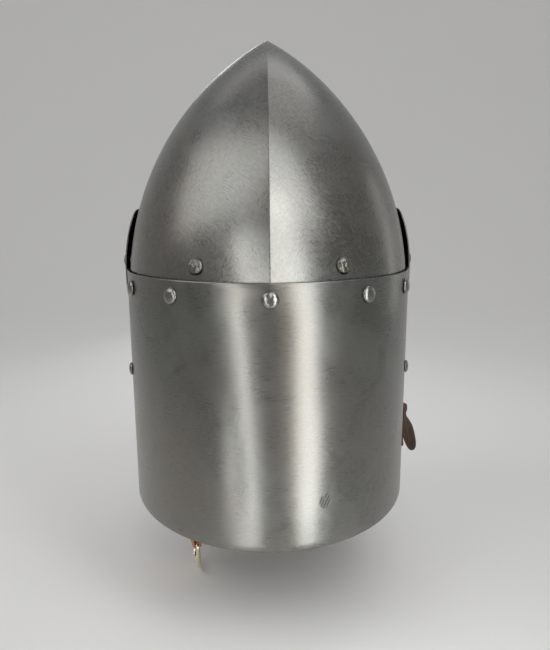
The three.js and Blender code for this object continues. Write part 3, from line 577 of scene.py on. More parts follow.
def grid_shell(name, surface, u, v, distance, wall, wrap, finishes, uvs):
    """Closed sheet over a grid, with its outer and inner face welded where distance is 0."""
    draw = lip(distance, wall / 2)
    outer, inner = surface(u, v, draw), surface(u, v, wall - draw)
    rows, columns = u.shape
    points = np.concatenate([outer.reshape(-1, 3), inner.reshape(-1, 3)])
    front = grid_faces(rows, columns, 0, wrap)
    rear = grid_faces(rows, columns, rows * columns, wrap, flip=True)
    index = [0] * len(front) + [len(finishes) - 1] * len(rear)
    flat = uvs.reshape(-1, 2)
    rim = np.tile(distance.ravel(), 2)
    return make_mesh(name, points, front + rear, finishes, index, np.concatenate([flat, flat]), rim)


def spaced(loop, spacing):
    """Closed loop with its long edges divided."""
    found = []
    for a, b in zip(loop, np.roll(loop, -1, axis=0)):
        count = max(1, int(math.ceil(np.linalg.norm(b - a) / spacing)))
        found.extend(a + (b - a) * k / count for k in range(count))
    return np.array(found)


def inside_loop(points, loop):
    """Which points lie inside a closed loop."""
    x, y = points[:, 0], points[:, 1]
    found = np.zeros(len(points), bool)
    for (ax, ay), (bx, by) in zip(loop, np.roll(loop, -1, axis=0)):
        crosses = (ay > y) != (by > y)
        if ay != by:
            found ^= crosses & (x < (bx - ax) * (y - ay) / (by - ay) + ax)
    return found


def loop_distance(points, loops):
    """Distance of each point to the nearest loop."""
    samples = np.concatenate([spaced(loop, EDGE_SAMPLE) for loop in loops])
    tree = KDTree(len(samples))
    for number, (x, y) in enumerate(samples):
        tree.insert((x, y, 0), number)
    tree.balance()
    return np.array([tree.find((x, y, 0))[2] for x, y in points])


def shrunk(loop, distance, hole):
    """Loop moved into the material by a distance."""
    ahead, behind = np.roll(loop, -1, axis=0), np.roll(loop, 1, axis=0)
    along = ahead - behind
    along /= np.maximum(np.linalg.norm(along, axis=1, keepdims=True), 1e-9)
    turn = np.sum(loop[:, 0] * ahead[:, 1] - ahead[:, 0] * loop[:, 1])
    inward = np.stack([-along[:, 1], along[:, 0]], axis=1) * (1 if turn > 0 else -1)
    return loop + inward * distance * (-1 if hole else 1)


def in_order(faces):
    """Triangles from their lowest corner on, in rising order, so that each run stores them alike."""
    first = faces.argmin(axis=1)[:, None]
    faces = np.take_along_axis(faces, (first + np.arange(3)) % 3, axis=1)
    return faces[np.lexsort(faces.T[::-1])]


def cut_sheet(name, surface, outline, holes, wall, spacing, finishes, columns=(), rows=()):
    """Closed sheet cut to an outline with holes, with round edges. Its plan is in two lengths."""
    radius = wall / 2
    loops = [spaced(np.asarray(loop, float), spacing * EDGE_SPACING_SHARE) for loop in (outline, *holes)]
    low, high = loops[0].min(axis=0), loops[0].max(axis=0)
    across = np.unique(np.concatenate([np.arange(low[0], high[0], spacing), columns]))
    up = np.unique(np.concatenate([np.arange(low[1] + spacing / 3, high[1], spacing), rows]))
    plan = np.stack(np.meshgrid(across, up), axis=-1).reshape(-1, 2)
    plan = plan[inside_loop(plan, loops[0])]
    for hole in loops[1:]:
        plan = plan[~inside_loop(plan, hole)]
    plan = plan[loop_distance(plan, loops) > radius + EDGE_CLEARANCE_SHARE * spacing]
    points, edges = [], []
    for number, loop in enumerate(loops):
        start = len(points)
        points.extend(loop)
        edges.extend((start + k, start + (k + 1) % len(loop)) for k in range(len(loop)))
        for share in LIP_SHARES[1:]:
            points.extend(shrunk(loop, share * radius, number > 0))
    points.extend(plan)
    made = delaunay_2d_cdt([Vector(p) for p in points], edges, [], 0, 1e-5, False)
    plan = np.array([tuple(p) for p in made[0]])
    faces = np.array([face for face in made[2] if len(face) == 3])
    middle = plan[faces].mean(axis=1)
    keep = inside_loop(middle, loops[0])
    for hole in loops[1:]:
        keep &= ~inside_loop(middle, hole)
    faces = in_order(faces[keep])
    distance = loop_distance(plan, loops)
    distance[distance < EDGE_SNAP] = 0
    draw = lip(distance, radius)
    count = len(plan)
    outer = surface(plan[:, 0], plan[:, 1], draw)
    inner = surface(plan[:, 0], plan[:, 1], wall - draw)
    shared = distance == 0
    inner[shared] = outer[shared]
    corners = faces.tolist() + (faces[:, ::-1] + count).tolist()
    index = [0] * len(faces) + [len(finishes) - 1] * len(faces)
    return make_mesh(
        name, np.concatenate([outer, inner]), corners, finishes, index,
        np.concatenate([plan, plan]), np.tile(distance, 2),
    )


def turned(name, profile, seat, material, dent=0.0, seed=0):
    """Turned piece on a seat, from points of radius and height, with shallow dents on its head."""
    sides = TURNED_SIDES
    turns = np.arange(sides) * 2 * math.pi / sides
    radius, height = np.array(profile, float).T
    r, t = np.meshgrid(radius, turns, indexing="ij")
    x, y, z = r * np.cos(t), r * np.sin(t), np.repeat(height[:, None], sides, axis=1)
    if dent:
        phase = seed * DENT_PHASE
        wave = np.sin(DENT_WAVES[0] * x + phase) * np.sin(DENT_WAVES[1] * y + 2 * phase)
        wave += 0.5 * np.sin(DENT_FINE_WAVES[0] * x - 3 * phase) * np.cos(DENT_FINE_WAVES[1] * y + phase)
        z = z + np.where(z > DENT_FLOOR, dent * wave * np.clip(z, 0, 1), 0)
    points = np.stack([x, y, z], axis=-1).reshape(-1, 3)
    placed = points @ rotation_to(seat[1]).T + seat[0]
    return make_mesh(name, placed, grid_faces(len(profile), sides, 0, True), [material])


def rivet(name, kind, grip, under_end, seat, material, dent=0.0, seed=0, seat_gap=0.0, sink=0.0, nub=0.0):
    """Rivet with its head on the seat, sunk to meet a curved plate, and its end past what it grips."""
    radius, shank, rise = kind["head"], kind["shank"], kind["rise"]
    flat, side = radius * kind["top_share"], rise * RIVET_EDGE_SHARE
    top, under, foot = seat_gap + rise, seat_gap - sink, -grip - under_end
    head = [
        (flat + (radius - flat) * math.cos(q), seat_gap + side + (rise - side) * math.sin(q))
        for q in np.linspace(0, math.pi / 2, RIVET_HEAD_STEPS)
    ]
    if nub:
        head += [(nub, top), (nub * NUB_TOP_SHARE, top + nub * NUB_RISE_SHARE)]
    end = [
        (kind["end"] * math.cos(q), foot - kind["end_rise"] * math.sin(q) ** RIVET_END_ROUNDNESS)
        for q in np.linspace(math.pi / 2, 0, RIVET_END_STEPS)
    ]
    end[0] = (0, foot - kind["end_rise"])
    profile = [
        *end, (shank, foot), (shank, under), (radius * RIVET_FOOT_SHARE, under),
        (radius * RIVET_FOOT_SHARE, seat_gap + RIVET_UNDERCUT), *head, (0, top + nub * NUB_RISE_SHARE),
    ]
    return turned(name, profile, seat, material, dent=dent, seed=seed)


def ring(name, outer, inner, near, far, seat, material):
    """Flat ring between two depths under a seat, with soft edges."""
    soft = min(RING_SOFTNESS, (far - near) / 3)
    profile = [
        (inner, -far + soft), (inner + soft, -far), (outer - soft, -far), (outer, -far + soft),
        (outer, -near - soft), (outer - soft, -near), (inner + soft, -near), (inner, -near - soft),
        (inner, -far + soft),
    ]
    return turned(name, profile, seat, material)


def loop_tube(name, path, radius, sides, material, place):
    """Round tube along a closed loop of points."""
    path = np.asarray(path, float)
    along = np.roll(path, -1, axis=0) - np.roll(path, 1, axis=0)
    along /= np.linalg.norm(along, axis=1, keepdims=True)
    spoke = path - path.mean(axis=0)
    spoke -= along * np.sum(spoke * along, axis=1, keepdims=True)
    spoke /= np.linalg.norm(spoke, axis=1, keepdims=True)
    across = np.cross(along, spoke)
    turns = np.arange(sides) * 2 * math.pi / sides
    points = path[:, None] + radius * (
        np.cos(turns)[None, :, None] * spoke[:, None] + np.sin(turns)[None, :, None] * across[:, None]
    )
    closed = np.concatenate([points, points[:1]])
    faces = grid_faces(len(closed), sides, 0, True, flip=True)
    return make_mesh(name, place(closed.reshape(-1, 3)), faces, [material])


# Frames of the straps

def strap_place(seat):
    """Function from a strap's own axes, inwards, across and up the plate, to the helmet's."""
    inward = -seat[1]
    across = np.cross((0, 0, 1), inward)
    across /= np.linalg.norm(across)
    basis = np.stack([inward, across, np.cross(inward, across)])
    origin = seat[0] + inward * PLATE_WALL
    return lambda points: np.asarray(points) @ basis + origin


def strap_offset(drop, slope, bend):
    """How far a strap stands off below its rivet, after an even bend to its slope."""
    start, end = bend
    bent = slope * (np.clip(drop, start, end) - start) ** 2 / (2 * (end - start))
    return bent + slope * np.maximum(drop - end, 0)


def chin_offset(drop):
    return STRAP_WALL_GAP + strap_offset(drop, STRAP_SLOPE, STRAP_BEND)


EYE_RADIUS = BUCKLE_WIRE + BAR_GAP
LOOP_RADIUS = EYE_RADIUS + STRAP_WALL
BAR_OFFSET = float(chin_offset(BUCKLE_DROP)) + LOOP_RADIUS
STRIP_STEP = 0.6


def strip_surface(path, wall, place, twist=None):
    """Surface of a strip: across its width and along a path in the plane of its offset and height."""
    path = np.asarray(path, float)
    length = np.concatenate([[0], np.cumsum(np.linalg.norm(np.diff(path, axis=0), axis=1))])

    def surface(across, along, inset):
        x, z = np.interp(along, length, path[:, 0]), np.interp(along, length, path[:, 1])
        ahead = np.clip(along + STRIP_STEP, 0, length[-1])
        behind = np.clip(along - STRIP_STEP, 0, length[-1])
        tx = np.interp(ahead, length, path[:, 0]) - np.interp(behind, length, path[:, 0])
        tz = np.interp(ahead, length, path[:, 1]) - np.interp(behind, length, path[:, 1])
        size = np.hypot(tx, tz)
        nx, nz = tz / size, -tx / size
        out = wall / 2 - inset
        lean = twist(along / length[-1]) if twist else 0
        shift, width = across * np.sin(lean), across * np.cos(lean)
        turn_x = out * nx * np.cos(lean)
        turn_y = -out * nx * np.sin(lean)
        return place(points_of(x + turn_x + shift, width + turn_y, z + out * nz))

    return surface, length[-1]


# Outlines of cut sheets

SIDES = (("left", -1), ("right", 1))


def circle(centre, radius):
    turns = np.arange(CIRCLE_SIDES) * 2 * math.pi / CIRCLE_SIDES
    return np.stack([centre[0] + radius * np.cos(turns), centre[1] + radius * np.sin(turns)], axis=1)


def rounded_corner(centre, radius, start, count=5):
    turns = np.radians(np.linspace(start, start + 90, count))
    return [(centre[0] + radius * math.cos(q), centre[1] + radius * math.sin(q)) for q in turns]


def slot_outline(half, start, end, corner):
    """Slot along a strap with round corners."""
    return [
        *rounded_corner((corner - half, start + corner), corner, 180),
        *rounded_corner((half - corner, start + corner), corner, 270),
        *rounded_corner((half - corner, end - corner), corner, 0),
        *rounded_corner((corner - half, end - corner), corner, 90),
    ]


def strap_head(half):
    """Top end of a strap's outline, with round corners."""
    corner = STRAP_CORNER
    return [
        *rounded_corner((corner - half, corner), corner, 180),
        *rounded_corner((half - corner, corner), corner, 270),
    ]


def leaf_outline(drop, half_width, top):
    """Outline of a leather tab, across and along it, broadest below its middle."""
    length = top + drop
    waist, broad = top + drop * LEAF_WAIST_SHARE, top + drop * LEAF_BROAD_SHARE
    tip = half_width * LEAF_TIP_SHARE
    turns = np.radians(np.linspace(180, 360, 16))
    head = np.stack([top * np.cos(turns), top + top * np.sin(turns)], axis=1)
    t = np.linspace(0, 1, 12)[1:, None]
    right = bow(t, (top, top), (half_width, waist), (half_width, broad))
    foot = bow(t, (half_width, broad), (tip, length), (0, length))
    half = np.concatenate([right, foot])
    return np.concatenate([head, half, (half[::-1] * (-1, 1))[1:]])


# Finishes

def add_socket(tree, name, kind, out=False, value=None):
    direction = "OUTPUT" if out else "INPUT"
    socket = tree.interface.new_socket(name=name, in_out=direction, socket_type=kind)
    if value is not None:
        socket.default_value = value
    return socket


def put(tree, kind, links=(), **values):
    """Adds a node, sets its fields and sockets, and links other nodes' outputs to it."""
    node = tree.nodes.new(kind)
    for key, value in values.items():
        if key.startswith("in_"):
            name = key[3:].replace("_", " ").title()
            socket = node.inputs[name] if name in node.inputs else node.inputs[int(key[3:])]
            socket.default_value = value
        else:
            setattr(node, key, value)
    for output, name in links:
        tree.links.new(output, node.inputs[name])
    return node


def new_group(name, inputs, outputs):
    tree = bpy.data.node_groups.new(name, "ShaderNodeTree")
    for title, kind, value in inputs:
        add_socket(tree, title, kind, value=value)
    for title, kind in outputs:
        add_socket(tree, title, kind, out=True)
    return tree, tree.nodes.new("NodeGroupInput"), tree.nodes.new("NodeGroupOutput")


def math_node(tree, operation, first, second):
    """Math node whose inputs are outputs of other nodes or numbers."""
    node = tree.nodes.new("ShaderNodeMath")
    node.operation = operation
    for place, value in enumerate((first, second)):
        if isinstance(value, (int, float)):
            node.inputs[place].default_value = value
        else:
            tree.links.new(value, node.inputs[place])
    return node.outputs[0]


def streak_group():
    """Fine parallel marks of a brush or an abrasive, stretched along the first axis."""
    name = "Brushed Streaks"
    if name in bpy.data.node_groups:
        return bpy.data.node_groups[name]
    tree, start, end = new_group(
        name,
        [
            ("Vector", "NodeSocketVector", None),
            ("Along", "NodeSocketFloat", 130.0),
            ("Across", "NodeSocketFloat", 1900.0),
            ("Wander", "NodeSocketFloat", 0.3),
        ],
        [("Height", "NodeSocketFloat")],
    )
    scale = put(tree, "ShaderNodeCombineXYZ", [(start.outputs["Along"], "X")])
    tree.links.new(start.outputs["Across"], scale.inputs["Y"])
    tree.links.new(start.outputs["Across"], scale.inputs["Z"])
    stretch = put(tree, "ShaderNodeVectorMath", operation="MULTIPLY")
    tree.links.new(start.outputs["Vector"], stretch.inputs[0])
    tree.links.new(scale.outputs[0], stretch.inputs[1])
    noise = put(
        tree, "ShaderNodeTexNoise",
        [(stretch.outputs[0], "Vector"), (start.outputs["Wander"], "Distortion")],
        in_scale=1.0, in_detail=4.0, in_roughness=0.62,
    )
    tree.links.new(noise.outputs["Fac"], end.inputs["Height"])
    return tree


def sanding_group():
    """Short scratches of hand sanding, in patches that run in two directions, with broad clouds."""
    name = "Hand Sanding"
    if name in bpy.data.node_groups:
        return bpy.data.node_groups[name]
    tree, start, end = new_group(
        name,
        [
            ("Vector", "NodeSocketVector", None),
            ("Patch", "NodeSocketFloat", 22.0),
            ("Mark", "NodeSocketFloat", 900.0),
        ],
        [("Height", "NodeSocketFloat"), ("Mask", "NodeSocketFloat"), ("Tint", "NodeSocketFloat")],
    )
    vector, patch = (start.outputs[key] for key in ("Vector", "Patch"))
    warp = put(
        tree, "ShaderNodeTexNoise", [(vector, "Vector"), (patch, "Scale")], in_detail=2.0, in_roughness=0.5
    )
    centred = put(tree, "ShaderNodeVectorMath", [(warp.outputs["Color"], 0)], operation="SUBTRACT")
    centred.inputs[1].default_value = (0.5, 0.5, 0.5)
    swept = put(
        tree, "ShaderNodeVectorMath", [(centred.outputs[0], 0)], operation="SCALE", in_scale=SANDING_SWEEP
    )
    moved = put(tree, "ShaderNodeVectorMath", [(vector, 0), (swept.outputs[0], 1)], operation="ADD")
    sets = []
    for angle in SANDING_ANGLES:
        turned_by = put(
            tree, "ShaderNodeVectorRotate", [(moved.outputs[0], "Vector")], rotation_type="Z_AXIS",
            in_angle=math.radians(angle),
        )
        squeeze = put(tree, "ShaderNodeVectorMath", [(turned_by.outputs[0], 0)], operation="MULTIPLY")
        squeeze.inputs[1].default_value = (SANDING_STRETCH_SHARE, 1.0, 1.0)
        sets.append(put(
            tree, "ShaderNodeTexNoise", [(squeeze.outputs[0], "Vector"), (start.outputs["Mark"], "Scale")],
            in_detail=2.0, in_roughness=0.6,
        ))
    clouds = put(
        tree, "ShaderNodeTexNoise", [(vector, "Vector"), (patch, "Scale")],
        in_detail=3.0, in_roughness=0.6, in_distortion=0.8,
    )
    choice = map_range(tree, warp.outputs["Fac"], 0.4, 0.6, 0.1, 0.9)
    blend = put(
        tree, "ShaderNodeMix",
        [(choice, "Factor"), (sets[0].outputs["Fac"], "A"), (sets[1].outputs["Fac"], "B")], data_type="FLOAT",
    )
    broad = math_node(tree, "MULTIPLY", patch, SANDING_TINT_SHARE)
    tint = put(tree, "ShaderNodeTexNoise", [(vector, "Vector"), (broad, "Scale")], in_detail=1.0)
    tree.links.new(blend.outputs["Result"], end.inputs["Height"])
    tree.links.new(clouds.outputs["Fac"], end.inputs["Mask"])
    tree.links.new(tint.outputs["Fac"], end.inputs["Tint"])
    return tree


def hide_group():
    """Grain of leather: pebbles, pores and broad colour clouds."""
    name = "Leather Hide"
    if name in bpy.data.node_groups:
        return bpy.data.node_groups[name]
    tree, start, end = new_group(
        name,
        [
            ("Vector", "NodeSocketVector", None),
            ("Pebble", "NodeSocketFloat", 900.0),
            ("Cloud", "NodeSocketFloat", 60.0),
        ],
        [("Height", "NodeSocketFloat"), ("Shade", "NodeSocketFloat")],
    )
    cells = put(
        tree, "ShaderNodeTexVoronoi",
        [(start.outputs["Vector"], "Vector"), (start.outputs["Pebble"], "Scale")], feature="SMOOTH_F1",
    )
    fine = put(
        tree, "ShaderNodeTexNoise", [(start.outputs["Vector"], "Vector"), (start.outputs["Pebble"], "Scale")],
        in_detail=4.0, in_roughness=0.6,
    )
    clouds = put(
        tree, "ShaderNodeTexNoise", [(start.outputs["Vector"], "Vector"), (start.outputs["Cloud"], "Scale")],
        in_detail=4.0, in_roughness=0.55, in_distortion=0.4,
    )
    pebbled = math_node(tree, "ADD", cells.outputs["Distance"], fine.outputs["Fac"])
    tree.links.new(pebbled, end.inputs["Height"])
    tree.links.new(clouds.outputs["Fac"], end.inputs["Shade"])
    return tree


def new_material(name):
    material = bpy.data.materials.new(name)
    material.use_nodes = True
    tree = material.node_tree
    return material, tree, tree.nodes["Principled BSDF"]


def use_group(tree, group, vector, **values):
    node = tree.nodes.new("ShaderNodeGroup")
    node.node_tree = group
    tree.links.new(vector, node.inputs["Vector"])
    for key, value in values.items():
        node.inputs[key.title()].default_value = value
    return node


def mix_colours(tree, factor, first, second):
    node = tree.nodes.new("ShaderNodeMix")
    node.data_type = "RGBA"
    tree.links.new(factor, node.inputs["Factor"])
    for place, value in ((6, first), (7, second)):
        if hasattr(value, "links"):
            tree.links.new(value, node.inputs[place])
        else:
            node.inputs[place].default_value = (*value, 1)
    return node.outputs[2]


def map_range(tree, value, low, high, to_low, to_high):
    node = put(
        tree, "ShaderNodeMapRange", [(value, "Value")],
        in_from_min=low, in_from_max=high, in_to_min=to_low, in_to_max=to_high,
    )
    return node.outputs["Result"]


def bump(tree, shader, height, strength, distance):
    node = put(tree, "ShaderNodeBump", [(height, "Height")], in_strength=strength, in_distance=distance)
    tree.links.new(node.outputs["Normal"], shader.inputs["Normal"])


def steel(name, light, dark, warm, roughness, spread, brushed, grain, anisotropy=0.0):
    """Satin steel with cloudy tone. Brushed steel has level marks, the other is sanded by hand."""
    material, tree, shader = new_material(name)
    place = tree.nodes.new("ShaderNodeTexCoord")
    flat = place.outputs["UV"]
    clouds = use_group(tree, sanding_group(), flat, patch=24.0, mark=1500.0)
    tone = map_range(tree, clouds.outputs["Mask"], 0.34, 0.66, 0.0, 1.0)
    warmth = map_range(tree, clouds.outputs["Tint"], 0.4, 0.62, 0.0, 0.75)
    body = mix_colours(tree, tone, dark, light)
    if brushed:
        marks = use_group(tree, streak_group(), flat).outputs["Height"]
    else:
        marks = clouds.outputs["Height"]
    tinted = mix_colours(tree, warmth, body, warm)
    shade = MARK_TONE_SHARE * grain
    scratched = map_range(tree, marks, 0.35, 0.65, 1 - shade, 1 + shade)
    scaled = put(tree, "ShaderNodeVectorMath", [(tinted, 0)], operation="SCALE")
    tree.links.new(scratched, scaled.inputs["Scale"])
    tree.links.new(scaled.outputs[0], shader.inputs["Base Color"])
    cloudy = map_range(tree, clouds.outputs["Mask"], 0.3, 0.7, roughness - spread, roughness + spread)
    gloss = MARK_TONE_SHARE * spread
    marked = map_range(tree, marks, 0.35, 0.65, -gloss, gloss)
    tree.links.new(math_node(tree, "ADD", cloudy, marked), shader.inputs["Roughness"])
    bump(tree, shader, marks, grain, STEEL_MARK_DEPTH)
    shader.inputs["Metallic"].default_value = 1.0
    if anisotropy:
        shader.inputs["Anisotropic"].default_value = anisotropy
    return material


def scuffed(material):
    """Adds one small scuff to a finish: short scrapes side by side, round a place on the flat pattern."""
    tree = material.node_tree
    shader = tree.nodes["Principled BSDF"]
    flat = tree.nodes.new("ShaderNodeTexCoord").outputs["UV"]
    away = put(tree, "ShaderNodeVectorMath", [(flat, 0)], operation="DISTANCE")
    away.inputs[1].default_value = (*SCUFF_PLACE, 0)
    within = map_range(tree, away.outputs["Value"], SCUFF_CORE_SHARE * SCUFF_REACH, SCUFF_REACH, 1.0, 0.0)
    slanted = put(
        tree, "ShaderNodeVectorRotate", [(flat, "Vector")], rotation_type="Z_AXIS",
        in_angle=math.radians(-SCUFF_SLANT),
    )
    scrapes = put(
        tree, "ShaderNodeTexWave", [(slanted.outputs[0], "Vector")], bands_direction="Y",
        in_scale=SCUFF_BANDS,
    )
    depth = map_range(tree, scrapes.outputs["Fac"], 0.2, 0.8, 0.0, 1.0)
    height = math_node(tree, "MULTIPLY", within, depth)
    ground = shader.inputs["Normal"].links[0].from_socket
    node = put(
        tree, "ShaderNodeBump", [(height, "Height"), (ground, "Normal")],
        in_strength=1.0, in_distance=SCUFF_DEPTH,
    )
    tree.links.new(node.outputs["Normal"], shader.inputs["Normal"])
    return material


def leather(name, light, dark, edge, roughness, pebble, rim_width, gloss=0.5):
    """Leather with grain, clouds of tone and coloured edges: burnished, and a painted rim highlight on the
    visor strap.
    """
    material, tree, shader = new_material(name)
    place = tree.nodes.new("ShaderNodeTexCoord")
    hide = use_group(tree, hide_group(), place.outputs["Object"], pebble=pebble)
    tone = map_range(tree, hide.outputs["Shade"], 0.32, 0.68, 0.0, 1.0)
    body = mix_colours(tree, tone, dark, light)
    rim = put(tree, "ShaderNodeAttribute", attribute_name="rim")
    # Edge mask: real burnishing on the chin strap, liner and lace; on the visor strap and its backing the
    # edge colour is a painted rim highlight
    edge_wear_and_highlight = map_range(tree, rim.outputs["Fac"], 0.0, rim_width, 1.0, 0.0)
    tree.links.new(mix_colours(tree, edge_wear_and_highlight, body, edge), shader.inputs["Base Color"])
    rough = map_range(tree, hide.outputs["Shade"], 0.3, 0.7, roughness + 0.08, roughness - 0.08)
    tree.links.new(rough, shader.inputs["Roughness"])
    bump(tree, shader, hide.outputs["Height"], 0.35, LEATHER_GRAIN_DEPTH)
    shader.inputs["Specular IOR Level"].default_value = gloss
    return material


def cast_metal(name, light, dark, roughness):
    """Polished metal of small fittings, with tarnish in clouds."""
    material, tree, shader = new_material(name)
    place = tree.nodes.new("ShaderNodeTexCoord")
    clouds = use_group(tree, sanding_group(), place.outputs["Object"], patch=160.0, mark=900.0)
    tone = map_range(tree, clouds.outputs["Mask"], 0.35, 0.65, 0.0, 1.0)
    tree.links.new(mix_colours(tree, tone, dark, light), shader.inputs["Base Color"])
    rough = map_range(tree, clouds.outputs["Mask"], 0.3, 0.7, roughness + 0.08, roughness - 0.05)
    tree.links.new(rough, shader.inputs["Roughness"])
    bump(tree, shader, clouds.outputs["Height"], 0.12, STEEL_MARK_DEPTH)
    shader.inputs["Metallic"].default_value = 1.0
    return material


# Settings

def colour(name, description, default):
    return FloatVectorProperty(
        name=name, description=description, default=default, subtype="COLOR", size=3, min=0, max=1
    )


def fraction(name, description, default):
    return FloatProperty(name=name, description=description, default=default, min=0, max=1, subtype="FACTOR")


class HelmetMetal(bpy.types.PropertyGroup):
    """Colours and gloss of the steel and brass, and how deep the hammer marks are."""

    steel_light: colour("Steel", "Reflection colour of the satin steel", (0.235, 0.235, 0.222))
    steel_dark: colour("Darker steel", "Reflection colour of the steel's dark clouds", (0.19, 0.19, 0.176))
    steel_warm: colour("Warm steel", "Reflection colour of the tinted clouds", (0.222, 0.208, 0.188))
    inside_light: colour("Inside", "Colour of the unpolished inside", (0.05, 0.048, 0.045))
    inside_dark: colour("Inside, dark", "Colour of scale on the inside", (0.022, 0.021, 0.02))
    rivet_light: colour("Rivets", "Reflection colour of polished rivet heads", (0.27, 0.265, 0.25))
    rivet_dull: colour("Dull rivets", "Reflection colour of hammered rivet heads", (0.17, 0.158, 0.135))
    brass_light: colour("Buckle", "Reflection colour of the buckle", (0.97, 0.92, 0.78))
    brass_dark: colour("Buckle, tarnished", "Reflection colour of the tarnish", (0.84, 0.74, 0.52))
    steel_roughness: fraction("Steel roughness", "Roughness of the satin steel", 0.29)
    rivet_roughness: fraction("Rivet roughness", "Roughness of the rivet heads", 0.2)
    hammering: FloatProperty(
        name="Hammering", description="Depth of the hammer marks on the liner's rivets", default=0.22 * MM,
        min=0, unit="LENGTH", precision=5,
    )


class HelmetLeather(bpy.types.PropertyGroup):
    """Colours of the leather, how thick the lace is, and how far the visor strap leans out."""

    strap: colour("Chin strap", "Grain side of the chin strap", (0.72, 0.38, 0.2))
    strap_dark: colour("Chin strap, dark", "Darker clouds of the chin strap", (0.54, 0.26, 0.125))
    strap_edge: colour("Chin strap edge", "Burnished edge of the chin strap", (0.36, 0.16, 0.08))
    tab: colour("Visor strap", "Lighter clouds of the visor strap", (0.055, 0.031, 0.02))
    tab_dark: colour("Visor strap, dark", "Body colour of the visor strap", (0.022, 0.012, 0.009))
    # Painted rim highlight: a lighter red-brown on the visor strap's edges that stands in for light catching
    # them
    tab_rim_highlight: colour("Visor strap edge", "Worn red-brown edge of the visor strap", (0.095, 0.05, 0.036))
    backing: colour("Backing", "Red-brown of the backing leather", (0.085, 0.022, 0.01))
    liner: colour("Liner", "Soft leather of the liner", (0.42, 0.27, 0.16))
    liner_dark: colour("Liner, dark", "Darker clouds of the liner", (0.3, 0.18, 0.1))
    lace: colour("Lace", "Leather lace", (0.12, 0.06, 0.035))
    lace_radius: FloatProperty(
        name="Lace radius", description="Radius of the round lace", default=LACE_RADIUS * MM, min=0,
        unit="LENGTH", precision=5,
    )
    tab_lean: FloatProperty(
        name="Visor strap lean", description="How far the strap's lower end is turned out",
        default=math.radians(37), unit="ROTATION",
    )
    backing_lean: FloatProperty(
        name="Backing lean", description="How far the backing's lower end is turned out",
        default=math.radians(9), unit="ROTATION",
    )


class HelmetStage(bpy.types.PropertyGroup):
    """Floor, surround, lamps and camera."""

    floor: colour("Floor", "Colour of the floor and the surround", (0.80, 0.79, 0.77))
    floor_gap: FloatProperty(
        name="Floor gap", description="Height of the helmet's lowest point over the floor",
        default=0.004, unit="LENGTH",
    )
    lens: FloatProperty(
        name="Lens", description="Focal length of the camera", default=CAMERA_LENS, unit="CAMERA"
    )
    world: FloatProperty(name="World", description="Brightness of the world", default=0.42, min=0)


def finish(name):
    """Material by name, made when it is first asked for."""
    if name in bpy.data.materials:
        return bpy.data.materials[name]
    metal, hides = bpy.context.scene.helmet_metal, bpy.context.scene.helmet_leather
    satin = (metal.steel_light, metal.steel_dark, metal.steel_warm, metal.steel_roughness)
    scale = (metal.inside_light, metal.inside_dark, metal.inside_dark)
    strap = (hides.strap, hides.strap_dark, hides.strap_edge)
    liner = (hides.liner, hides.liner_dark, hides.strap_dark)
    # The visor strap and its backing take the dark body colour, with the painted rim highlight on their edges
    edge_wear_and_highlight = (hides.tab_dark, hides.tab_rim_highlight)
    makers = {
        "plate_satin": lambda: scuffed(steel(name, *satin, 0.03, True, 0.14, 0.2)),
        "skull_satin": lambda: steel(name, *satin, 0.045, False, 0.3),
        "visor_satin": lambda: steel(name, *satin, 0.03, True, 0.12, 0.2),
        "inside_steel": lambda: steel(name, *scale, roughness=0.62, spread=0.1, brushed=False, grain=0.5),
        "rivet_polished": lambda: cast_metal(
            name, metal.rivet_light, metal.steel_light, metal.rivet_roughness
        ),
        "rivet_hammered": lambda: cast_metal(name, metal.rivet_dull, metal.steel_dark, 0.3),
        "pale_brass": lambda: cast_metal(name, metal.brass_light, metal.brass_dark, 0.17),
        "chin_leather": lambda: leather(name, *strap, 0.55, 1100.0, 0.5),
        "tab_leather": lambda: leather(name, hides.tab, *edge_wear_and_highlight, 0.55, 800.0, 0.8, 0.25),
        "backing_leather": lambda: leather(name, hides.backing, *edge_wear_and_highlight, 0.6, 800.0, 1.2, 0.25),
        "liner_leather_soft": lambda: leather(name, *liner, 0.72, 700.0, 1.4),
        "lace_leather_round": lambda: leather(
            name, hides.lace, hides.tab_dark, hides.tab_dark, 0.6, 900.0, 0.1
        ),
    }
    return makers[name]()


def settle(piece, body, slot, *nodes):
    """Ties a piece to its body and hides the solids that it stands for. Its finish slot is not used."""
    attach(piece, body)
    if nodes:
        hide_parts(*nodes)
    return piece


def set_rivet(node, kind, grip, under_end, seat, material, body="helmet", **shape):
    """Rivet that stands for a solid one."""
    piece = rivet(f"{node}_fine", kind, grip, under_end, seat, material, **shape)
    return settle(piece, body, "rivet_steel", node)


def set_washer(node, kind, near, seat):
    """Washer that a rivet's end holds, at a depth under the rivet's seat."""
    bore, far = kind["shank"] + BOLT_GAP, near + WASHER_WALL
    piece = ring(f"{node}_fine", WASHER_RADIUS, bore, near, far, seat, finish("rivet_hammered"))
    return settle(piece, "helmet", "rivet_steel", node)


def denser(values, centres, offsets):
    """Values with more of them close to some centres."""
    extra = [centre + sign * offset for centre in centres for offset in offsets for sign in (-1, 1)]
    return np.unique(np.round(np.concatenate([values, centres, extra]), 5))


# Operators

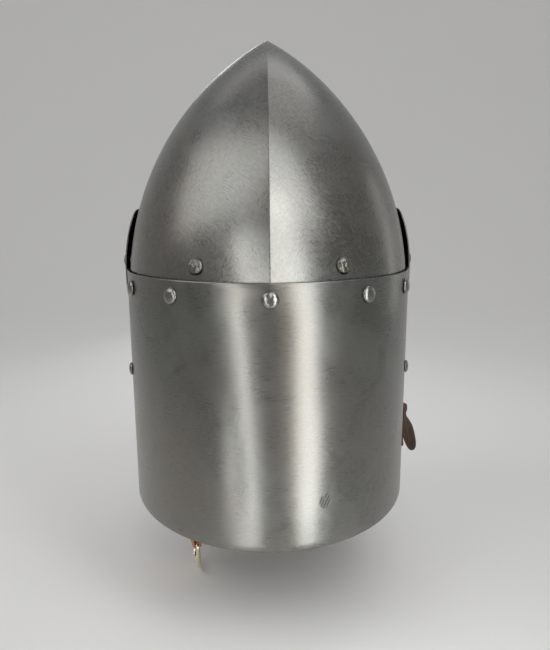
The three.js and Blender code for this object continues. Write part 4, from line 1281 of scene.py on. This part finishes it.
class HELMET_OT_skull(bpy.types.Operator):
    """Builds the keeled skull with its face opening"""

    bl_idname = "helmet.build_skull"
    bl_label = "Skull"

    def execute(self, context):
        half = SEAM_HALF_WIDTH - FACE_SIDE_MARGIN
        top = PIVOT_HEIGHT + FACE_RISE
        jump = math.degrees(math.asin(half / (SKULL_HALF_WIDTH - 0.5)))
        angles = denser(np.arange(0, 360, SKULL_COLUMN_ANGLE), [0, 180, 360], SKULL_RIDGE_ANGLES)
        angles = denser(angles, [180 - jump, 180 + jump], SKULL_JAMB_ANGLES)
        angles = angles[(angles >= 0) & (angles < 360)]
        x = np.abs(SKULL_HALF_WIDTH * np.sin(np.radians(angles)))
        front = (np.cos(np.radians(angles)) < 0) & (x < half)
        share = np.sqrt(np.clip((half - x) / FACE_CORNER, 0, 1))
        open_to = top - FACE_CORNER + FACE_CORNER * (2 * share - share**2)
        foot = np.where(front, open_to, SKULL_FOOT)
        radius = ogive_radius(SKULL_HALF_WIDTH, SKULL_RISE)
        arc = math.asin(SKULL_RISE / radius)
        straight = SPRING_HEIGHT - SKULL_FOOT
        length = straight + radius * arc

        def path_of(height):
            over = np.clip(height - SPRING_HEIGHT, 0, SKULL_RISE)
            below = np.clip(height, None, SPRING_HEIGHT) - SKULL_FOOT
            return below + radius * np.arcsin(over / radius)

        lips = np.array(LIP_SHARES) * SKULL_WALL / 2
        low = path_of(foot)
        rise = np.linspace(0, 1, SKULL_ROWS)[1:, None] * (length - low - lips[-1])
        along = np.concatenate([low + lips[:, None], low + lips[-1] + rise])
        angle_grid = np.repeat(angles[None, :], len(along), axis=0)

        def surface(angle, path, inset):
            turn = np.clip(path - straight, 0, None) / radius
            climb = np.sin(turn) / math.sin(arc)
            height = np.where(path < straight, SKULL_FOOT + path, SPRING_HEIGHT + climb * skull_rise(inset))
            return skull_point(angle, height, inset)

        distance = along - low[None, :]
        signed = (angle_grid + 180) % 360 - 180
        width = np.linalg.norm(surface(np.full_like(along, 90), along, 0)[..., :2], axis=-1)
        uvs = np.stack([np.radians(signed) * width, along], axis=-1)
        finishes = [finish("skull_satin"), finish("inside_steel")]
        piece = grid_shell(
            "skull_shell", surface, angle_grid, along, distance, SKULL_WALL, True, finishes, uvs
        )
        settle(piece, "helmet", "plate_steel", "skull")
        return {"FINISHED"}


class HELMET_OT_back_plate(bpy.types.Operator):
    """Builds the plate that wraps the back and sides"""

    bl_idname = "helmet.build_back_plate"
    bl_label = "Back plate"

    def execute(self, context):
        lips = np.array(LIP_SHARES) * PLATE_WALL / 2
        between = np.linspace(lips[-1], SEAM_HEIGHT - lips[-1], PLATE_ROWS)
        heights = np.unique(np.concatenate([lips, between, SEAM_HEIGHT - lips]))
        around = np.degrees(lips / SEAM_FRONT_DEPTH)
        ends = np.linspace(around[-1] - PLATE_WRAP, PLATE_WRAP - around[-1], PLATE_COLUMNS)
        angles = np.concatenate([around - PLATE_WRAP, ends, PLATE_WRAP - around])
        angles = denser(angles, [0], PLATE_RIDGE_ANGLES)
        angle, height = np.meshgrid(angles, heights)
        side = np.radians(PLATE_WRAP - np.abs(angle)) * SEAM_FRONT_DEPTH
        distance = np.minimum(np.minimum(height, SEAM_HEIGHT - height), side)
        distance = np.where(distance < 1e-6, 0, distance)
        uvs = np.stack([np.radians(angle) * SEAM_FRONT_DEPTH, height], axis=-1)
        finishes = [finish("plate_satin"), finish("inside_steel")]
        piece = grid_shell(
            "back_plate_shell", plate_point, angle, height, distance, PLATE_WALL, False, finishes, uvs
        )
        settle(piece, "helmet", "plate_steel", "back_plate")
        return {"FINISHED"}


def visor_outline(along_of):
    """Outline of the visor's flat plan: up its stepped rear edge and over the brow, on both sides."""
    side_top, brow_top = PIVOT_HEIGHT + VISOR_SIDE_RISE, PIVOT_HEIGHT + VISOR_BROW_RISE
    ear_foot, rear_top = PIVOT_HEIGHT - VISOR_EAR_DROP, PIVOT_HEIGHT - VISOR_REAR_DROP
    waist = (ear_foot + rear_top) / 2
    t = np.linspace(0, 1, VISOR_STEP_POINTS)[:, None]
    step = double_bow(
        t, (VISOR_REAR, rear_top), (VISOR_REAR, waist),
        (VISOR_EAR_REAR, waist), (VISOR_EAR_REAR, ear_foot),
    )
    corner = bow(
        t, (VISOR_EAR_REAR, PIVOT_HEIGHT + VISOR_EAR_RISE), (VISOR_EAR_REAR, side_top),
        (VISOR_EAR_REAR + VISOR_EAR_CORNER, side_top),
    )
    rear = np.concatenate([[[VISOR_REAR, VISOR_FOOT]], step, corner])
    rear_angles = visor_angle(rear[:, 0], rear[:, 1])
    rear_plan = np.stack([along_of(rear_angles), rear[:, 1]], axis=1)
    top = []
    for angle in np.linspace(rear_angles[-1], 180, VISOR_TOP_POINTS)[1:]:
        height = side_top
        for _ in range(VISOR_TOP_PASSES):
            y = float(visor_point(angle, height, 0)[1])
            height = side_top + (brow_top - side_top) * y / SEAM_FRONT_DEPTH
        top.append((float(along_of(angle)), height))
    half = np.concatenate([rear_plan, top])
    mirrored = half[::-1][1:] * (-1, 1)
    return np.concatenate([half, mirrored])[::-1]


def visor_holes(along_of):
    """Sights, breaths and pivot holes in the visor's flat plan."""
    def plan_of(x, height, sign):
        width = float(visor_point(90, height, 0)[0])
        return float(along_of(180 - math.degrees(math.asin(x / width)))) * sign, height

    level, radius = PIVOT_HEIGHT - SIGHT_DROP, SIGHT_WIDTH / 2
    half_turn = np.linspace(-math.pi / 2, math.pi / 2, CIRCLE_SIDES // 2 + 3)
    whole_turn = np.arange(CIRCLE_SIDES) * 2 * math.pi / CIRCLE_SIDES
    half_circle = [(math.cos(q), math.sin(q)) for q in half_turn]
    whole_circle = [(math.cos(q), math.sin(q)) for q in whole_turn]
    sight = [(SIGHT_OUTER - radius + radius * cos, level + radius * sin) for cos, sin in half_circle]
    sight += [(SIGHT_INNER + radius - radius * cos, level - radius * sin) for cos, sin in half_circle]
    pivot = [(PIVOT_HOLE * cos, PIVOT_HEIGHT + PIVOT_HOLE * sin) for cos, sin in whole_circle]
    holes = []
    for _, sign in SIDES:
        holes.append([plan_of(x, height, sign) for x, height in sight])
        for row in range(BREATH_ROWS):
            for column in range(BREATH_COLUMNS):
                across = BREATH_INNER + BREATH_PITCH * (column + (row % 2) / 2)
                height = BREATH_FOOT + BREATH_PITCH * row
                holes.append([
                    plan_of(across + BREATH_RADIUS * cos, height + BREATH_RADIUS * sin, sign)
                    for cos, sin in whole_circle
                ])
        holes.append([(float(along_of(visor_angle(y, height))) * sign, height) for y, height in pivot])
    return holes


class HELMET_OT_visor(bpy.types.Operator):
    """Builds the visor with its ridge, sights and breaths"""

    bl_idname = "helmet.build_visor"
    bl_label = "Visor"

    def execute(self, context):
        angles = np.linspace(*VISOR_ANGLES)
        ground = visor_point(angles, SEAM_HEIGHT / 2, 0)
        steps = np.linalg.norm(np.diff(ground, axis=0), axis=1)
        lengths = np.concatenate([[0], np.cumsum(steps)])
        lengths -= np.interp(180, angles, lengths)

        def along_of(angle):
            return np.interp(angle, angles, lengths)

        def surface(along, height, inset):
            return visor_point(np.interp(along, lengths, angles), height, inset)

        piece = cut_sheet(
            "visor_shell", surface, visor_outline(along_of), visor_holes(along_of), VISOR_WALL, VISOR_SPACING,
            [finish("visor_satin"), finish("inside_steel")], columns=VISOR_RIDGE_COLUMNS, rows=[SEAM_HEIGHT],
        )
        settle(piece, "visor", "visor_steel", "visor")
        return {"FINISHED"}


def seam_seats():
    return [(angle, seat_on(plate_point, angle, SEAM_RIVET_HEIGHT)) for angle in SEAM_RIVET_ANGLES]


def liner_seats():
    found = []
    for where, angle in (("back", LINER_RIVET_ANGLE), ("front", 180 - LINER_RIVET_ANGLE)):
        for side, sign in SIDES:
            height = float(band_middle(angle))
            found.append((f"{where}_{side}", sign * angle, seat_on(skull_point, sign * angle, height)))
    return found


def strap_seats():
    return {
        side: seat_on(plate_point, sign * STRAP_RIVET_ANGLE, STRAP_RIVET_HEIGHT) for side, sign in SIDES
    }


def tab_seat():
    return seat_on(plate_point, 90, TAB_HEIGHT, level=True)


def stud_seat():
    depth = float(visor_point(180, TAB_HEIGHT, 0)[1]) - VISOR_RIDGE
    angle = 90 + math.degrees(math.asin(STUD_FORWARD / depth))
    return seat_on(visor_point, angle, TAB_HEIGHT, level=True)


class HELMET_OT_rivets(bpy.types.Operator):
    """Builds the rivets and washers of the plates, the liner and the chin strap"""

    bl_idname = "helmet.build_rivets"
    bl_label = "Rivets"

    def execute(self, context):
        polished, hammered = finish("rivet_polished"), finish("rivet_hammered")
        hammering = context.scene.helmet_metal.hammering / MM
        end_turn = math.degrees(SEAM_RIVET["end"] / SEAM_HALF_WIDTH)
        for number, (angle, seat) in enumerate(seam_seats(), 1):
            grip = depth_below(seat, skull_point(angle + end_turn, SEAM_RIVET_HEIGHT, SKULL_WALL))
            set_rivet(
                f"seam_rivet_{number}", SEAM_RIVET, grip, END_GAP, seat, polished, dent=0.06, seed=number,
                sink=0.3 if angle else 1.2,
            )
        for number, (name, angle, seat) in enumerate(liner_seats()):
            inside = depth_below(seat, liner_point(angle, np.array(BAND_RIVET_SHARE), LINER_WALL)) + END_GAP
            set_rivet(
                f"liner_rivet_{name}", LINER_RIVET, inside + WASHER_WALL, SEAT_GAP, seat, hammered,
                dent=hammering, seed=number + 3, sink=0.25, nub=1.9,
            )
            set_washer(f"liner_washer_{name}", LINER_RIVET, inside, seat)
        for number, (side, seat) in enumerate(strap_seats().items()):
            inside = PLATE_WALL + STRAP_WALL_GAP + STRAP_WALL + SEAT_GAP
            set_rivet(
                f"chin_strap_rivet_{side}", STRAP_RIVET, inside + WASHER_WALL, SEAT_GAP, seat, polished,
                dent=0.08, seed=number + 9, sink=0.3,
            )
            set_washer(f"chin_strap_washer_{side}", STRAP_RIVET, inside, seat)
        return {"FINISHED"}


class HELMET_OT_pivots(bpy.types.Operator):
    """Builds the visor's pivots with their spacers and washers"""

    bl_idname = "helmet.build_pivots"
    bl_label = "Visor pivots"

    def execute(self, context):
        polished, hammered = finish("rivet_polished"), finish("rivet_hammered")
        for number, (side, sign) in enumerate(SIDES):
            edge = float(visor_point(90, SEAM_HEIGHT, 0)[0])
            seat = (np.array([sign * edge, 0, PIVOT_HEIGHT]), np.array([sign, 0.0, 0.0]))
            skull_side = depth_below(seat, skull_point(sign * 90, PIVOT_HEIGHT - SPACER_RADIUS, 0))
            visor_side = depth_below(seat, visor_point(sign * 90, PIVOT_HEIGHT + SPACER_RADIUS, VISOR_WALL))
            span = depth_below(seat, skull_point(sign * 90, PIVOT_HEIGHT + SPACER_RADIUS, SKULL_WALL))
            inside = span + END_GAP
            set_rivet(
                f"visor_pivot_{side}", PIVOT_RIVET, inside + WASHER_WALL, SEAT_GAP, seat, polished,
                dent=0.08, seed=number + 20, seat_gap=PIVOT_HEAD_GAP,
            )
            spacer = ring(
                f"pivot_spacer_{side}_fine", SPACER_RADIUS, PIVOT_RIVET["shank"] + BOLT_GAP,
                visor_side + SEAT_GAP, skull_side - SEAT_GAP, seat, hammered,
            )
            settle(spacer, "helmet", "rivet_steel", f"pivot_spacer_{side}")
            set_washer(f"pivot_washer_{side}", PIVOT_RIVET, inside, seat)
        return {"FINISHED"}


class HELMET_OT_liner(bpy.types.Operator):
    """Builds the leather liner and the lace that gathers its lobes"""

    bl_idname = "helmet.build_liner"
    bl_label = "Liner"

    def execute(self, context):
        soft = finish("liner_leather_soft")
        radius = LINER_WALL / 2
        lips = np.array(LIP_SHARES) * radius
        foot = float(np.linalg.norm(liner_point(0.0, np.array(NOTCH_START_SHARE), LINER_WALL)[:2]))
        band = np.concatenate([-1 + lips / (2 * BAND_HALF_HEIGHT), np.linspace(*BAND_SHARES)])
        lobe_rows = np.linspace(0, 1, LOBE_ROWS)[1:-1]
        shares = np.concatenate([band, lobe_rows, [NOTCH_START_SHARE], 1 - lips / LOBE_LENGTH])
        shares = np.unique(np.round(shares, 6))
        edge = np.array(LOBE_EDGE_SHARES)
        across = np.unique(np.concatenate([edge - 1, np.linspace(*LOBE_MIDDLE_COLUMNS), 1 - edge]))
        u, share = np.meshgrid(across, shares)
        rows, columns = u.shape
        parted = share >= NOTCH_START_SHARE
        sag = LOBE_SAG * smoothstep(share, *SAG_SHARES) * (1 - u**2)
        sag = sag * (1 - smoothstep(share, *SAG_END_SHARES))
        points, faces, uvs, rim = [], [], [], []
        for lobe in range(LOBE_COUNT):
            middle = lobe * 360 / LOBE_COUNT
            radial = np.linalg.norm(liner_point(middle + 0 * u, share, radius)[..., :2], axis=-1)
            spread = (NOTCH_AT_BAND - NOTCH_AT_CROWN) / 2 * np.clip(radial / foot, 0, 1)
            gap = np.where(parted, NOTCH_AT_CROWN / 2 + spread, 0)
            half = 180 / LOBE_COUNT - np.degrees(np.arcsin(np.clip(gap / radial, 0, 0.9)))
            angle = middle + u * half
            side = np.where(parted, (1 - np.abs(u)) * np.radians(half) * radial, 1000)
            crown, low = (1 - share) * LOBE_LENGTH, (share + 1) * 2 * BAND_HALF_HEIGHT
            distance = np.minimum(np.minimum(side, crown), low)
            distance = np.where(distance < 1e-5, 0, distance)
            draw = lip(distance, radius)
            up_wave = np.sin(RIPPLE_WAVES[0] * share + RIPPLE_TURN * lobe)
            ripple = LOBE_RIPPLE * up_wave * np.sin(RIPPLE_WAVES[1] * u + lobe)
            extra = sag + np.abs(ripple * smoothstep(share, *RIPPLE_SHARES))
            start = len(points)
            points.extend(liner_point(angle, share, draw + extra).reshape(-1, 3))
            points.extend(liner_point(angle, share, LINER_WALL - draw + extra).reshape(-1, 3))
            faces += grid_faces(rows, columns, start, False)
            faces += grid_faces(rows, columns, start + rows * columns, False, flip=True)
            plan = np.stack([np.radians(angle) * SKULL_HALF_WIDTH, share * LOBE_LENGTH], axis=-1)
            uvs.extend([*plan.reshape(-1, 2)] * 2)
            rim.extend([*distance.ravel()] * 2)
        piece = make_mesh(
            "liner_lobes", np.array(points), faces, [soft], uvs=np.array(uvs), rim=np.array(rim)
        )
        settle(piece, "helmet", "liner_leather", "liner")
        turns = np.arange(0, 360, 1.5)
        path = liner_point(turns, np.full(turns.shape, LACE_SHARE), radius)
        path[:, 2] += LACE_WAVE * np.clip(2 * np.cos(np.radians(turns) * LOBE_COUNT / 2), -1, 1)
        thick = context.scene.helmet_leather.lace_radius / MM
        round_leather = finish("lace_leather_round")
        lace = loop_tube("liner_lace_round", path, thick, LACE_SIDES, round_leather, lambda points: points)
        settle(lace, "helmet", "lace_leather", "liner_lace")
        return {"FINISHED"}


def strap_path(foot_drop):
    """Middle line of a strap that hangs inside, from its top end down."""
    drops = np.linspace(-STRAP_TAB, foot_drop, 80)
    return np.stack([chin_offset(drops) + STRAP_WALL / 2, -drops], axis=1)


def folded_half(place):
    """Left half of the chin strap, folded round the buckle's bar and riveted to itself."""
    half = STRAP_WIDTH / 2
    path = strap_path(BUCKLE_DROP)
    middle = EYE_RADIUS + STRAP_WALL / 2
    turns = np.linspace(math.pi, 2 * math.pi, 30)[1:]
    loop = np.stack([BAR_OFFSET + middle * np.cos(turns), middle * np.sin(turns) - BUCKLE_DROP], axis=1)
    drops = np.linspace(BUCKLE_DROP - FOLD_TAPER, BUCKLE_DROP - FOLD_LENGTH, 12)
    doubled = np.stack([chin_offset(drops) + 1.5 * STRAP_WALL + SEAT_GAP, -drops], axis=1)
    start, end = loop[-1], doubled[0]
    lead = start + np.array([0, FOLD_TAPER * FOLD_EASE_SHARE])
    along = (doubled[1] - end) / np.linalg.norm(doubled[1] - end)
    tail = end - along * FOLD_TAPER * FOLD_EASE_SHARE
    ease = double_bow(np.linspace(0, 1, 14)[1:-1, None], start, lead, tail, end)
    surface, length = strip_surface(np.concatenate([path, loop, ease, doubled]), STRAP_WALL, place)
    down = float(np.sum(np.linalg.norm(np.diff(path, axis=0), axis=1)))
    turn = down + middle * math.pi
    foot = length - FOLD_CORNER
    outline = [
        *strap_head(half), *rounded_corner((half - FOLD_CORNER, foot), FOLD_CORNER, 0),
        *rounded_corner((FOLD_CORNER - half, foot), FOLD_CORNER, 90),
    ]
    reach = EYE_RADIUS + PRONG_WALL + SLOT_GAP
    slot = slot_outline(PRONG_WIDTH / 2 + SLOT_GAP, down - reach, turn + reach + PRONG_WALL, 1.0)
    holes = [slot, circle((0, STRAP_TAB), STRAP_RIVET["shank"] + BOLT_GAP)]
    hide = [finish("chin_leather")]
    return cut_sheet("chin_strap_left_leather", surface, outline, holes, STRAP_WALL, STRAP_SPACING, hide)


def tongue_half(place):
    """Right half of the chin strap, pointed, with a row of holes."""
    half = STRAP_WIDTH / 2
    surface, length = strip_surface(strap_path(TONGUE_DROP), STRAP_WALL, place)
    point = length - TONGUE_POINT
    tip = bow(np.linspace(0, 1, 12)[1:, None], (half, point), (half, length), (0, length))
    outline = [*strap_head(half), (half, point), *tip, *(tip[::-1][1:] * (-1, 1)), (-half, point)]
    holes = [circle((0, STRAP_TAB), STRAP_RIVET["shank"] + BOLT_GAP)]
    for number in range(TONGUE_HOLES):
        along = length - TONGUE_HOLE_MARGIN - number * TONGUE_HOLE_PITCH
        holes.append(circle((0, along), TONGUE_HOLE_RADIUS))
    hide = [finish("chin_leather")]
    return cut_sheet("chin_strap_right_leather", surface, outline, holes, STRAP_WALL, STRAP_SPACING, hide)


def buckle_wire(at_bar):
    """Round wire of the buckle's frame, from its bar down."""
    path = []
    for sign, height, radius, start in (
        (1, 0, BUCKLE_TOP_CORNER, 0), (-1, 0, BUCKLE_TOP_CORNER, 90),
        (-1, -BUCKLE_LENGTH, BUCKLE_FOOT_CORNER, 180), (1, -BUCKLE_LENGTH, BUCKLE_FOOT_CORNER, 270),
    ):
        centre = (sign * (BUCKLE_HALF_WIDTH - radius), height + (radius if height < 0 else -radius))
        path += [(0, across, up) for across, up in rounded_corner(centre, radius, start, 10)]
    path = spaced(np.array(path), BUCKLE_SPACING)
    return loop_tube("buckle_frame_wire", path, BUCKLE_WIRE, BUCKLE_SIDES, finish("pale_brass"), at_bar)


def prong(at_bar):
    """Flat prong whose eye turns on the bar and whose tip rests over the frame's foot."""
    eye = EYE_RADIUS + PRONG_WALL / 2
    turns = np.linspace(PRONG_CURL, 0, 40)
    curl = np.stack([eye * np.cos(turns), eye * np.sin(turns)], axis=1)
    drops = np.linspace(-eye * PRONG_START_SHARE, -BUCKLE_LENGTH - PRONG_TIP, 20)
    straight = np.stack([np.full(drops.shape, eye), drops], axis=1)
    surface, length = strip_surface(np.concatenate([curl, straight]), PRONG_WALL, at_bar)
    half = PRONG_WIDTH / 2
    side = [(half * width, length - back) for width, back in PRONG_TAPER]
    outline = [(-half, 0), (half, 0), *side, (0, length), *[(-x, along) for x, along in side[::-1]]]
    brass = [finish("pale_brass")]
    return cut_sheet("buckle_prong_wire", surface, outline, [], PRONG_WALL, PRONG_SPACING, brass)


class HELMET_OT_chin_strap(bpy.types.Operator):
    """Builds both halves of the chin strap, the buckle and the rivet in its fold"""

    bl_idname = "helmet.build_chin_strap"
    bl_label = "Chin strap"

    def execute(self, context):
        left, right = (strap_place(seat) for seat in strap_seats().values())

        def at_bar(points):
            return left(np.asarray(points) + (BAR_OFFSET, 0, -BUCKLE_DROP))

        settle(folded_half(left), "chin_strap_left", "strap_leather", "chin_strap_left")
        settle(tongue_half(right), "chin_strap_right", "strap_leather", "chin_strap_right")
        settle(buckle_wire(at_bar), "buckle_frame", "buckle_brass", "buckle_frame")
        settle(prong(at_bar), "buckle_prong", "buckle_brass", "buckle_prong")
        drop = BUCKLE_DROP - FOLD_RIVET_RISE
        local = np.array([float(chin_offset(drop)), 0, -drop])
        outward = np.array([-1, 0, -STRAP_SLOPE]) / math.hypot(1, STRAP_SLOPE)
        seat = (left(local), left(local + outward) - left(local))
        set_rivet(
            "buckle_fold_rivet", FOLD_RIVET, 2 * STRAP_WALL + SEAT_GAP, SEAT_GAP, seat,
            finish("rivet_polished"), body="chin_strap_left", dent=0.05,
        )
        return {"FINISHED"}


class HELMET_OT_visor_strap(bpy.types.Operator):
    """Builds the visor strap, its backing, its rivet and the visor's stud"""

    bl_idname = "helmet.build_visor_strap"
    bl_label = "Visor strap"

    def execute(self, context):
        seat = tab_seat()
        base = SEAT_GAP + BACKING_WALL + SEAT_GAP
        hides = context.scene.helmet_leather

        def place(points):
            return np.asarray(points) + seat[0]

        def tab(name, offset, wall, drop, half_width, slope, holes, material, lean):
            drops = np.linspace(-TAB_TOP_RADIUS, drop, 60)
            path = np.stack([offset + strap_offset(drops, slope, TAB_BEND) + wall / 2, -drops], axis=1)
            surface, length = strip_surface(
                path, wall, place, lambda share: lean * smoothstep(share, *TAB_LEAN_SHARES)
            )
            outline = leaf_outline(drop, half_width, TAB_TOP_RADIUS)
            outline[:, 1] *= length / (drop + TAB_TOP_RADIUS)
            return cut_sheet(name, surface, outline, holes, wall, TAB_SPACING, [material])

        hole = circle((0, TAB_TOP_RADIUS), TAB_RIVET["shank"] + BOLT_GAP)
        slot_half = TAB_SLOT[0] / 2
        slot_end = TAB_TOP_RADIUS + TAB_DROP - TAB_SLOT_MARGIN
        slot = slot_outline(slot_half, slot_end - TAB_SLOT[1], slot_end, slot_half)
        piece = tab(
            "visor_strap_leather", base, TAB_WALL, TAB_DROP, TAB_HALF_WIDTH, TAB_SLOPE, [hole, slot],
            finish("tab_leather"), hides.tab_lean,
        )
        settle(piece, "visor_strap", "dark_leather", "visor_strap")
        piece = tab(
            "visor_strap_backing_leather", SEAT_GAP, BACKING_WALL, BACKING_DROP, BACKING_HALF_WIDTH,
            BACKING_SLOPE, [hole], finish("backing_leather"), hides.backing_lean,
        )
        settle(piece, "helmet", "dark_leather", "visor_strap_backing")
        stack = base + TAB_WALL
        inside = PLATE_WALL + END_GAP
        head_seat = (seat[0] + np.array([stack, 0, 0]), np.array([1.0, 0, 0]))
        set_rivet(
            "visor_strap_rivet", TAB_RIVET, stack + inside + WASHER_WALL, SEAT_GAP, head_seat,
            finish("rivet_polished"), dent=0.08, seed=4,
        )
        set_washer("visor_strap_washer", TAB_RIVET, inside, seat)
        neck = SEAT_GAP + STUD_NECK_LENGTH
        dome = [
            (STUD_HEAD * math.cos(q), neck + STUD_RIM + (STUD_HEAD_RISE - STUD_RIM) * math.sin(q))
            for q in np.linspace(0, math.pi / 2, 10)
        ]
        profile = [
            (0, -VISOR_WALL), (STUD_NECK, -VISOR_WALL), (STUD_NECK, neck - STUD_EDGE),
            (STUD_NECK + STUD_EDGE, neck), (STUD_HEAD - STUD_RIM_EDGE[0], neck + STUD_RIM_EDGE[1]),
            *dome[:-1], (0, neck + STUD_HEAD_RISE),
        ]
        piece = turned("visor_stud_fine", profile, stud_seat(), finish("rivet_polished"))
        settle(piece, "visor", "rivet_steel", "visor_stud")
        return {"FINISHED"}


def soft_box(name, place, aim, size, radiance, tint, grid, lean):
    """Rectangular lamp at a place, with its radiance straight ahead and the angle that its grid lets out."""
    lamp = bpy.data.lights.new(name, "AREA")
    lamp.shape = "RECTANGLE"
    lamp.size, lamp.size_y = size
    lamp.spread = math.radians(grid)
    half = lamp.spread / 2
    passed = 1 if grid >= 180 else 1 - half / math.tan(half)
    lamp.energy = radiance * math.pi * size[0] * size[1] * passed
    lamp.color = tint
    holder = bpy.data.objects.new(name, lamp)
    bpy.context.scene.collection.objects.link(holder)
    holder.location = place
    facing = (Vector(aim) - Vector(place)).to_track_quat("-Z", "Y").to_matrix()
    holder.rotation_euler = (facing @ Matrix.Rotation(math.radians(lean), 3, "Z")).to_euler()
    holder.visible_camera = False
    return holder


class HELMET_OT_stage(bpy.types.Operator):
    """Makes the floor, the surround, the lamps and the camera"""

    bl_idname = "helmet.build_stage"
    bl_label = "Stage"

    def execute(self, context):
        stage = context.scene.helmet_stage
        material, _, shader = new_material("pale_floor")
        shader.inputs["Base Color"].default_value = (*stage.floor, 1)
        shader.inputs["Roughness"].default_value = 0.9
        floor_height = cad_box[0].z - stage.floor_gap
        profile = [(0.0, 0.0), (SURROUND_FLAT, 0.0)]
        profile += [
            (SURROUND_FLAT + SURROUND_BEND * math.sin(q), SURROUND_BEND - SURROUND_BEND * math.cos(q))
            for q in np.linspace(0, math.pi / 2, 16)[1:]
        ]
        profile.append((SURROUND_FLAT + SURROUND_BEND, SURROUND_HEIGHT))
        turns = np.arange(SURROUND_SIDES) * 2 * math.pi / SURROUND_SIDES
        radius, height = np.array(profile).T
        r, t = np.meshgrid(radius, turns, indexing="ij")
        h = np.repeat(height[:, None], len(turns), axis=1) + floor_height
        points = np.stack([r * np.cos(t), r * np.sin(t), h], axis=-1).reshape(-1, 3)
        floor = make_mesh("floor", points / MM, grid_faces(len(profile), len(turns), 0, True), [material])

        world = bpy.data.worlds.new("soft_light")
        world.use_nodes = True
        background = world.node_tree.nodes["Background"]
        background.inputs["Color"].default_value = (*WORLD_TINT, 1)
        background.inputs["Strength"].default_value = stage.world
        context.scene.world = world
        for lamp in LAMPS:
            soft_box(*lamp)

        camera = bpy.data.cameras.new("camera")
        camera.lens = stage.lens
        camera.sensor_width = 36
        camera.clip_start = 0.01
        holder = bpy.data.objects.new("camera", camera)
        context.scene.collection.objects.link(holder)
        right = Vector((1, 0, 0))
        up = Vector((0, math.sin(CAMERA_PITCH), math.cos(CAMERA_PITCH)))
        back = Vector((0, -math.cos(CAMERA_PITCH), math.sin(CAMERA_PITCH)))
        turn = Matrix((right, up, back)).transposed().to_4x4()
        unturn = Matrix.Rotation(-CAMERA_YAW, 4, "Z")
        place = Matrix.Translation(Vector((CAMERA_OFFSET, -CAMERA_DISTANCE, CAMERA_HEIGHT)) * MM)
        holder.matrix_world = unturn @ place @ turn @ Matrix.Rotation(CAMERA_ROLL, 4, "Z")
        context.scene.camera = holder
        context.scene.view_settings.view_transform = "Standard"
        return {"FINISHED"}


class HELMET_PT_panel(bpy.types.Panel):
    """Lists the helmet's builders and settings"""

    bl_idname = "HELMET_PT_panel"
    bl_label = "Helmet"
    bl_space_type = "VIEW_3D"
    bl_region_type = "UI"
    bl_category = "Helmet"

    def draw(self, context):
        for builder in BUILDERS:
            self.layout.operator(builder.bl_idname)
        for group in ("helmet_metal", "helmet_leather", "helmet_stage"):
            box = self.layout.box()
            for key in getattr(context.scene, group).__annotations__:
                box.prop(getattr(context.scene, group), key)


BUILDERS = (
    HELMET_OT_stage,
    HELMET_OT_skull,
    HELMET_OT_back_plate,
    HELMET_OT_visor,
    HELMET_OT_rivets,
    HELMET_OT_pivots,
    HELMET_OT_liner,
    HELMET_OT_chin_strap,
    HELMET_OT_visor_strap,
)
GROUPS = {"helmet_metal": HelmetMetal, "helmet_leather": HelmetLeather, "helmet_stage": HelmetStage}


def register():
    for item in (*GROUPS.values(), *BUILDERS, HELMET_PT_panel):
        bpy.utils.register_class(item)
    for name, group in GROUPS.items():
        setattr(bpy.types.Scene, name, PointerProperty(type=group))


def unregister():
    for name in GROUPS:
        delattr(bpy.types.Scene, name)
    for item in (HELMET_PT_panel, *reversed(BUILDERS), *GROUPS.values()):
        bpy.utils.unregister_class(item)


def main():
    register()
    for builder in BUILDERS:
        group, action = builder.bl_idname.split(".")
        getattr(getattr(bpy.ops, group), action)()


if __name__ == "__main__":
    main()
